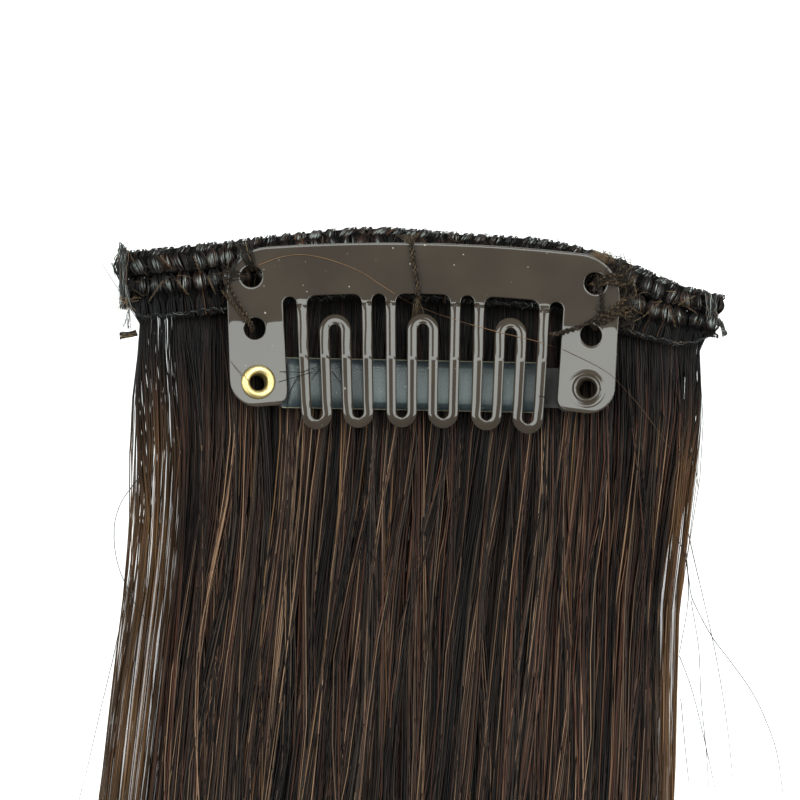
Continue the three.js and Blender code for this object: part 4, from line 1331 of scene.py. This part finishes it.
sewn("thread_right_fan", right_fan, thread_material, 0.05 * mm, 47, light=0.35, gilt=0.12)
middle_fan = np.concatenate([
    fan_of_fibres(rng, 26, [(-1.0, 4.2, 0.55), (-0.6, 4.2, 0.55)], [(-2.0, 4.9, 0.0), (0.1, 5.1, 0.0)], 0.12),
    fan_of_fibres(
        rng, 18, [(-0.4, -0.3, 0.3), (-0.1, -0.3, 0.3)], [(-1.0, -2.4, -0.7), (0.5, -2.2, -0.7)], 0.1
    ),
])
sewn("thread_middle_fan", middle_fan, thread_material, 0.045 * mm, 49, light=0.55, gilt=0.15)
fuzz = np.concatenate([
    curly_fibres(rng, 420, (16.0, -2.5), (17.5, 2.2), 1.0, -0.25, 0.5),
    curly_fibres(rng, 110, (15.4, 1.8), (16.9, 3.1), 0.9, -0.3, 0.5),
    curly_fibres(rng, 40, (14.5, -2.2), (16.2, -1.2), 0.9, 0.6, 0.3),
    curly_fibres(rng, 30, (14.7, 0.6), (16.2, 1.6), 0.8, 0.6, 0.25),
    curly_fibres(rng, 40, (-16.6, -0.6), (-15.7, 3.0), 0.8, -0.1, 0.4),
    curly_fibres(rng, 60, (13.8, 0.4), (14.9, 1.4), 0.6, -0.1, 0.4),
])
sewn("thread_fuzz", fuzz, thread_material, 0.034 * mm, 51, light=0.27, spread=0.22, gilt=0.08)
tuft = curly_fibres(rng, 200, (14.2, 2.7), (15.6, 3.3), 0.6, -0.2, 0.4)
sewn("khaki_tuft", tuft, thread_material, 0.036 * mm, 53, light=0.95, spread=0.12, gilt=0.5)

# Loose ends of the weft: brown stitches that cross the bundles, frayed wraps round both ends,
# a cut stub of hair at the left, and short hairs that stand out of the top edge.
CROSSINGS = [
    [(-21.3, 1.05), (-22.45, -0.6)],
    [(-20.2, 1.15), (-19.3, -0.05)],
    [(-17.65, 1.5), (-17.05, 0.05)],
    [(-18.8, 3.1), (-18.3, 1.8)],
    [(-21.5, 3.1), (-20.6, 2.05)],
    [(17.5, 1.5), (17.85, -0.3)],
    [(19.9, -0.6), (18.35, -1.9)],
    [(20.4, -1.0), (21.0, -2.7)],
    [(21.8, -1.0), (22.8, -1.7)],
    [(22.6, -0.2), (21.3, -0.9)],
]
rng = np.random.default_rng(61)
stitches = []
for (x0, y0), (x1, y1) in CROSSINGS:
    path = [
        (x0, y0, -0.6),
        (mix(x0, x1, 0.25), mix(y0, y1, 0.25), -0.12),
        (mix(x0, x1, 0.7), mix(y0, y1, 0.7), -0.12),
        (x1, y1, -0.7),
    ]
    stitches.append(cord_of_strands(rng, along_points(path), 2, 5, 0.05 * mm, 0.05 * mm, 2.2, 0.1))
stitches = np.concatenate(stitches)
sewn("weft_crossing_stitches", stitches, thread_material, 0.045 * mm, 63, light=0.6, gilt=0.06)
frayed = np.concatenate([
    fan_of_fibres(
        rng, 50, [(-25.0, 3.6, -0.6), (-24.3, 3.8, -0.4)], [(-24.9, -1.3, -0.9), (-24.0, -1.2, -0.7)], 0.5, wander=0.15
    ),
    fan_of_fibres(
        rng, 22, [(-24.9, 3.2, -0.5), (-24.6, 3.4, -0.4)], [(-24.9, 4.3, -0.5), (-24.4, 3.9, -0.3)], 0.1, wander=0.1
    ),
    fan_of_fibres(
        rng, 6, [(-24.2, -1.2, -0.9), (-24.0, -1.5, -0.9)], [(-24.7, -2.7, -1.4), (-23.7, -3.1, -1.6)], 0.05
    ),
    fan_of_fibres(
        rng, 46, [(23.4, 0.2, -0.8), (24.3, -0.3, -0.8)], [(23.7, -2.9, -1.2), (24.7, -2.6, -1.0)], 0.6, wander=0.15
    ),
    fan_of_fibres(
        rng, 20, [(24.5, -2.0, -0.9), (24.9, -2.4, -0.9)], [(24.9, -3.6, -1.2), (25.3, -3.3, -1.2)], 0.1, wander=0.08
    ),
])
sewn("weft_frayed_ends", frayed, weft_material, 0.07 * mm, 65, light=0.55)
stub = fan_of_fibres(
    rng, 40, [(-23.6, -3.0, -2.0), (-23.5, -3.5, -2.3)], [(-24.9, -3.2, -2.1), (-24.9, -3.8, -2.4)], 0.15
)
sewn("weft_cut_stub", stub, thread_material, 0.07 * mm, 67, light=0.3, gilt=0.25)
gold_ends = curly_fibres(rng, 26, (-24.8, -1.2), (-23.9, 0.2), 0.8, -0.7, 0.5)
sewn("weft_golden_ends", gold_ends, thread_material, 0.05 * mm, 69, light=0.8, gilt=0.9)


def edge_hairs(seed, count, up, length, height):
    """Short hairs that stand away from an edge of the weft."""
    rng = np.random.default_rng(seed)
    share = rng.uniform(0, 1, (count, 1))
    t = np.linspace(0, 1, 6)[None, :]
    lean = rng.normal(0, 0.008, (count, 1))
    out = length * rng.uniform(0.2, 1, (count, 1)) * mm
    bend = rng.normal(0, 0.006, (count, 1))
    spot_share = share + lean * t + bend * t**2
    ups = up * mm + out * t * np.sign(up)
    heights = height * ROW_THICKNESS * (1 - 0.3 * t) + rng.uniform(-0.3, 0.3, (count, 1)) * mm
    return weft_place(spot_share, ups, heights)


def crossing_fibres(seed, count, steps=6):
    """Fine fibres that lie criss-cross over the bundles."""
    rng = np.random.default_rng(seed)
    t = np.linspace(-0.5, 0.5, steps)[None, :]
    up = np.where(rng.uniform(0, 1, (count, 1)) < 0.5, 1.5, -0.25) + rng.normal(0, 0.3, (count, 1))
    heading = rng.normal(0, 0.6, (count, 1)) + rng.normal(0, 0.5, (count, 1)) * t
    length = rng.uniform(0.5, 1.5, (count, 1))
    share = rng.uniform(0, 1, (count, 1)) + length * np.cos(heading) * t * mm / WEFT_LENGTH
    height = (1.04 - 0.3 * np.abs(2 * t) ** 3 + rng.uniform(0, 0.04, (count, 1))) * ROW_THICKNESS
    return weft_place(share, (up + length * np.sin(heading) * t) * mm, height)


sewn("weft_crossing_fibres", crossing_fibres(75, 260), thread_material, 0.04 * mm, 76, light=0.45)
sewn("weft_top_fuzz", edge_hairs(71, 300, 2.55, 0.55, 0.6), weft_material, 0.04 * mm, 72, light=0.5)
sewn("weft_seam_fuzz", edge_hairs(73, 260, -2.6, 0.6, 0.6), weft_material, 0.04 * mm, 74, light=0.45)


# Loose hairs: single hairs that strayed over the clip and out of both sides of the curtain. Each lies on
# whatever is below it. Points are millimetres from the weft's middle.
ABOVE_ALL = 20 * mm
HAIR_LIFT = 0.04 * mm

below = [
    BVHTree.FromObject(piece, bpy.context.evaluated_depsgraph_get())
    for piece in [clip_sheet, *comb_pieces, sleeve, *eyelets, hair_pieces[-1], upper_bundles, lower_bundles]
]


def topmost(x, y):
    """The height of the uppermost surface at a place, or of the table."""
    hits = (tree.ray_cast(Vector((x, y, ABOVE_ALL)), Vector((0, 0, -1)))[0] for tree in below)
    return max([0.0] + [hit.z for hit in hits if hit is not None])


def draped(points, reach, count=72):
    """A hair through points, laid softly over what is below."""
    line = curve_through([(x, y, 0) for x, y in points], np.linspace(0, 1, count)) * mm
    x, y = line[:, 0] + weft_middle[0], line[:, 1] + weft_middle[1]
    spacing = np.linalg.norm(np.diff(line, axis=0), axis=1).mean()
    half = max(1, int(reach / spacing))
    tops = np.pad([topmost(*spot) for spot in zip(x, y)], 2 * half, mode="edge")
    highest = np.lib.stride_tricks.sliding_window_view(tops, 2 * half + 1).max(axis=1)
    height = np.convolve(highest, np.ones(2 * half + 1) / (2 * half + 1), "valid")
    return np.stack([x, y, height + HAIR_LIFT], axis=-1)


def loose_hairs(name, hairs, width, tint, gilt, reach=0.7 * mm):
    paths = np.stack([draped(points, reach) for points in hairs])
    count, points = paths.shape[:2]
    thickness = np.broadcast_to(width * mix(1, 0.6, np.linspace(0, 1, points) ** 4), (count, points))
    piece = strands(name, paths, thickness, hair_material, tint=np.full(count, tint), gilt=np.full(count, gilt))
    return piece


OVER_CLIP = [
    [(-13.5, 2.36), (-11.64, 3.04), (-9.81, 3.26), (-7.56, 2.84), (-5.07, 1.88), (-3.24, 0.71), (-1.02, -0.6),
     (2.3, -1.92), (5.93, -3.03), (8.98, -3.77), (11.2, -4.4)],
]
OVER_FINGERS = [
    [(-11.69, -6.44), (-10.85, -6.44), (-9.87, -6.47), (-8.69, -6.08), (-8.4, -5.83)],
    [(-11.78, -7.3), (-11.05, -7.06), (-10.12, -6.81), (-8.4, -6.32)],
    [(-10.12, -6.76), (-10.66, -7.69), (-10.95, -8.48), (-11.14, -9.84)],
    [(-11.15, -5.83), (-11.0, -7.79), (-11.24, -8.76), (-11.78, -9.06)],
    [(-8.4, -6.22), (-9.09, -7.1)],
    [(-7.36, -6.39), (-6.62, -7.43)],
    [(9.7, -8.5), (10.12, -8.5), (10.61, -9.33), (10.69, -9.73), (10.29, -9.98)],
]
BESIDE_CLIP = [
    [(-15.75, -5.54), (-15.26, -6.13), (-14.67, -6.71), (-14.08, -7.35)],
    [(11.7, -4.57), (14.46, -5.94), (16.0, -7.02), (18.2, -9.39), (20.7, -12.9)],
]
DARK_FLYAWAYS = [
    [(-23.13, -14.91), (-24.09, -16.08), (-25.05, -17.46), (-25.61, -19.15), (-25.64, -20.85), (-25.25, -22.76),
     (-24.51, -24.46), (-23.67, -26.15), (-23.03, -27.0)],
    [(22.3, -12.79), (22.84, -14.49), (23.15, -16.29)],
    [(21.35, -20.32), (21.99, -21.7), (22.41, -23.81), (22.77, -25.51), (24.31, -28.48), (26.12, -30.92),
     (27.81, -33.36), (29.09, -36.11), (29.83, -38.44), (30.36, -42.01)],
]
PALE_FLYAWAYS = [
    [(-23.34, -14.06), (-23.87, -18.3), (-24.56, -24.46), (-25.68, -29.97), (-26.84, -34.85), (-27.9, -39.51),
     (-28.54, -42.01), (-29.6, -47.0)],
    [(-24.3, -27.42), (-25.36, -33.15), (-26.42, -38.87), (-26.95, -42.01)],
    [(-24.19, -27.85), (-25.15, -34.2), (-25.99, -38.44), (-26.42, -42.01)],
    [(22.19, -18.94), (23.04, -22.76), (24.31, -28.27), (25.05, -32.09), (25.69, -36.33), (26.27, -42.01)],
    [(22.62, -25.51), (23.26, -29.54), (23.47, -33.78), (23.89, -38.02), (24.15, -42.01)],
    [(21.66, -30.18), (22.73, -33.15), (23.78, -37.39), (24.78, -42.01)],
    [(22.19, -16.82), (22.19, -20.64), (22.41, -24.03), (22.3, -26.36), (21.66, -29.96)],
    [(21.77, -33.78), (22.19, -38.44), (22.58, -42.01)],
]
golden_hair = loose_hairs("loose_hair_over_clip", OVER_CLIP, 0.06 * mm, 0.8, 0.45)
tuple(spring_start)
tuple(spring_end)
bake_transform(golden_hair)
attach(loose_hairs("loose_hairs_over_fingers", OVER_FINGERS, 0.07 * mm, 0.15, 0.0), "comb")
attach(loose_hairs("loose_hairs_beside_clip", BESIDE_CLIP, 0.055 * mm, 0.6, 0.2), "weft")
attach(loose_hairs("dark_flyaways", DARK_FLYAWAYS, 0.09 * mm, 0.3, 0.0, 2.5 * mm), "weft")
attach(loose_hairs("pale_flyaways", PALE_FLYAWAYS, 0.08 * mm, 0.5, 0.0, 2.5 * mm), "weft")


# The table is a plain white sheet, lit from all round by soft panels so that it shows no hard shadow.
def table_shade(tree):
    cloud = tree.noise(9, detail=2)
    white = tree.blend(cloud, (0.93, 0.93, 0.93, 1), (0.97, 0.97, 0.97, 1))
    return {"Base Color": white, "Roughness": 0.7, "Emission Color": white, "Emission Strength": 0.25}


TABLE_SIZE = 1.6
half_table = TABLE_SIZE / 2
table_mesh = bpy.data.meshes.new("table")
corners = [(-half_table, -half_table, 0), (half_table, -half_table, 0)]
corners += [(half_table, half_table, 0), (-half_table, half_table, 0)]
table_mesh.from_pydata(corners, [], [(0, 1, 2, 3)])
table_mesh.materials.append(surface("white table", table_shade))
table = placed("table", table_mesh)
table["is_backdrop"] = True

# Soft panels over the piece, in a plane above the camera: left, right, near and far edges, and brightness.
PANEL_HEIGHT = 0.6
PANEL_COLOUR = (0.95, 1.0, 0.98)
SKY_COLOUR = (0.97, 0.98, 1.0, 1)
SKY_STRENGTH = 0.3
PANELS = [
    ("panel_behind", -0.45, 0.45, 0.085, 0.23, 4.8),
    ("panel_behind_right", 0.03, 1.3, 0.23, 0.66, 5.0),
    ("panel_right", 0.27, 1.5, -0.35, 0.085, 5.0),
    ("panel_left", -1.5, -0.27, -0.35, 0.66, 5.0),
]
for name, left, right, near, far, brightness in PANELS:
    lamp = bpy.data.lights.new(name, "AREA")
    lamp.shape = "RECTANGLE"
    lamp.size = right - left
    lamp.size_y = far - near
    lamp.energy = brightness * np.pi * lamp.size * lamp.size_y
    lamp.color = PANEL_COLOUR
    panel = bpy.data.objects.new(name, lamp)
    panel.location = ((left + right) / 2, (near + far) / 2, PANEL_HEIGHT)
    bpy.context.scene.collection.objects.link(panel)

world = bpy.data.worlds.new("studio")
bpy.context.scene.world = world
world.use_nodes = True
world.node_tree.nodes["Background"].inputs["Color"].default_value = SKY_COLOUR
world.node_tree.nodes["Background"].inputs["Strength"].default_value = SKY_STRENGTH
bpy.context.scene.view_settings.view_transform = "Standard"

visual_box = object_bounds()
plain = {"cad": cad_box, "visual": visual_box}
{key: [[float(c) for c in corner] for corner in box] for key, box in plain.items()}
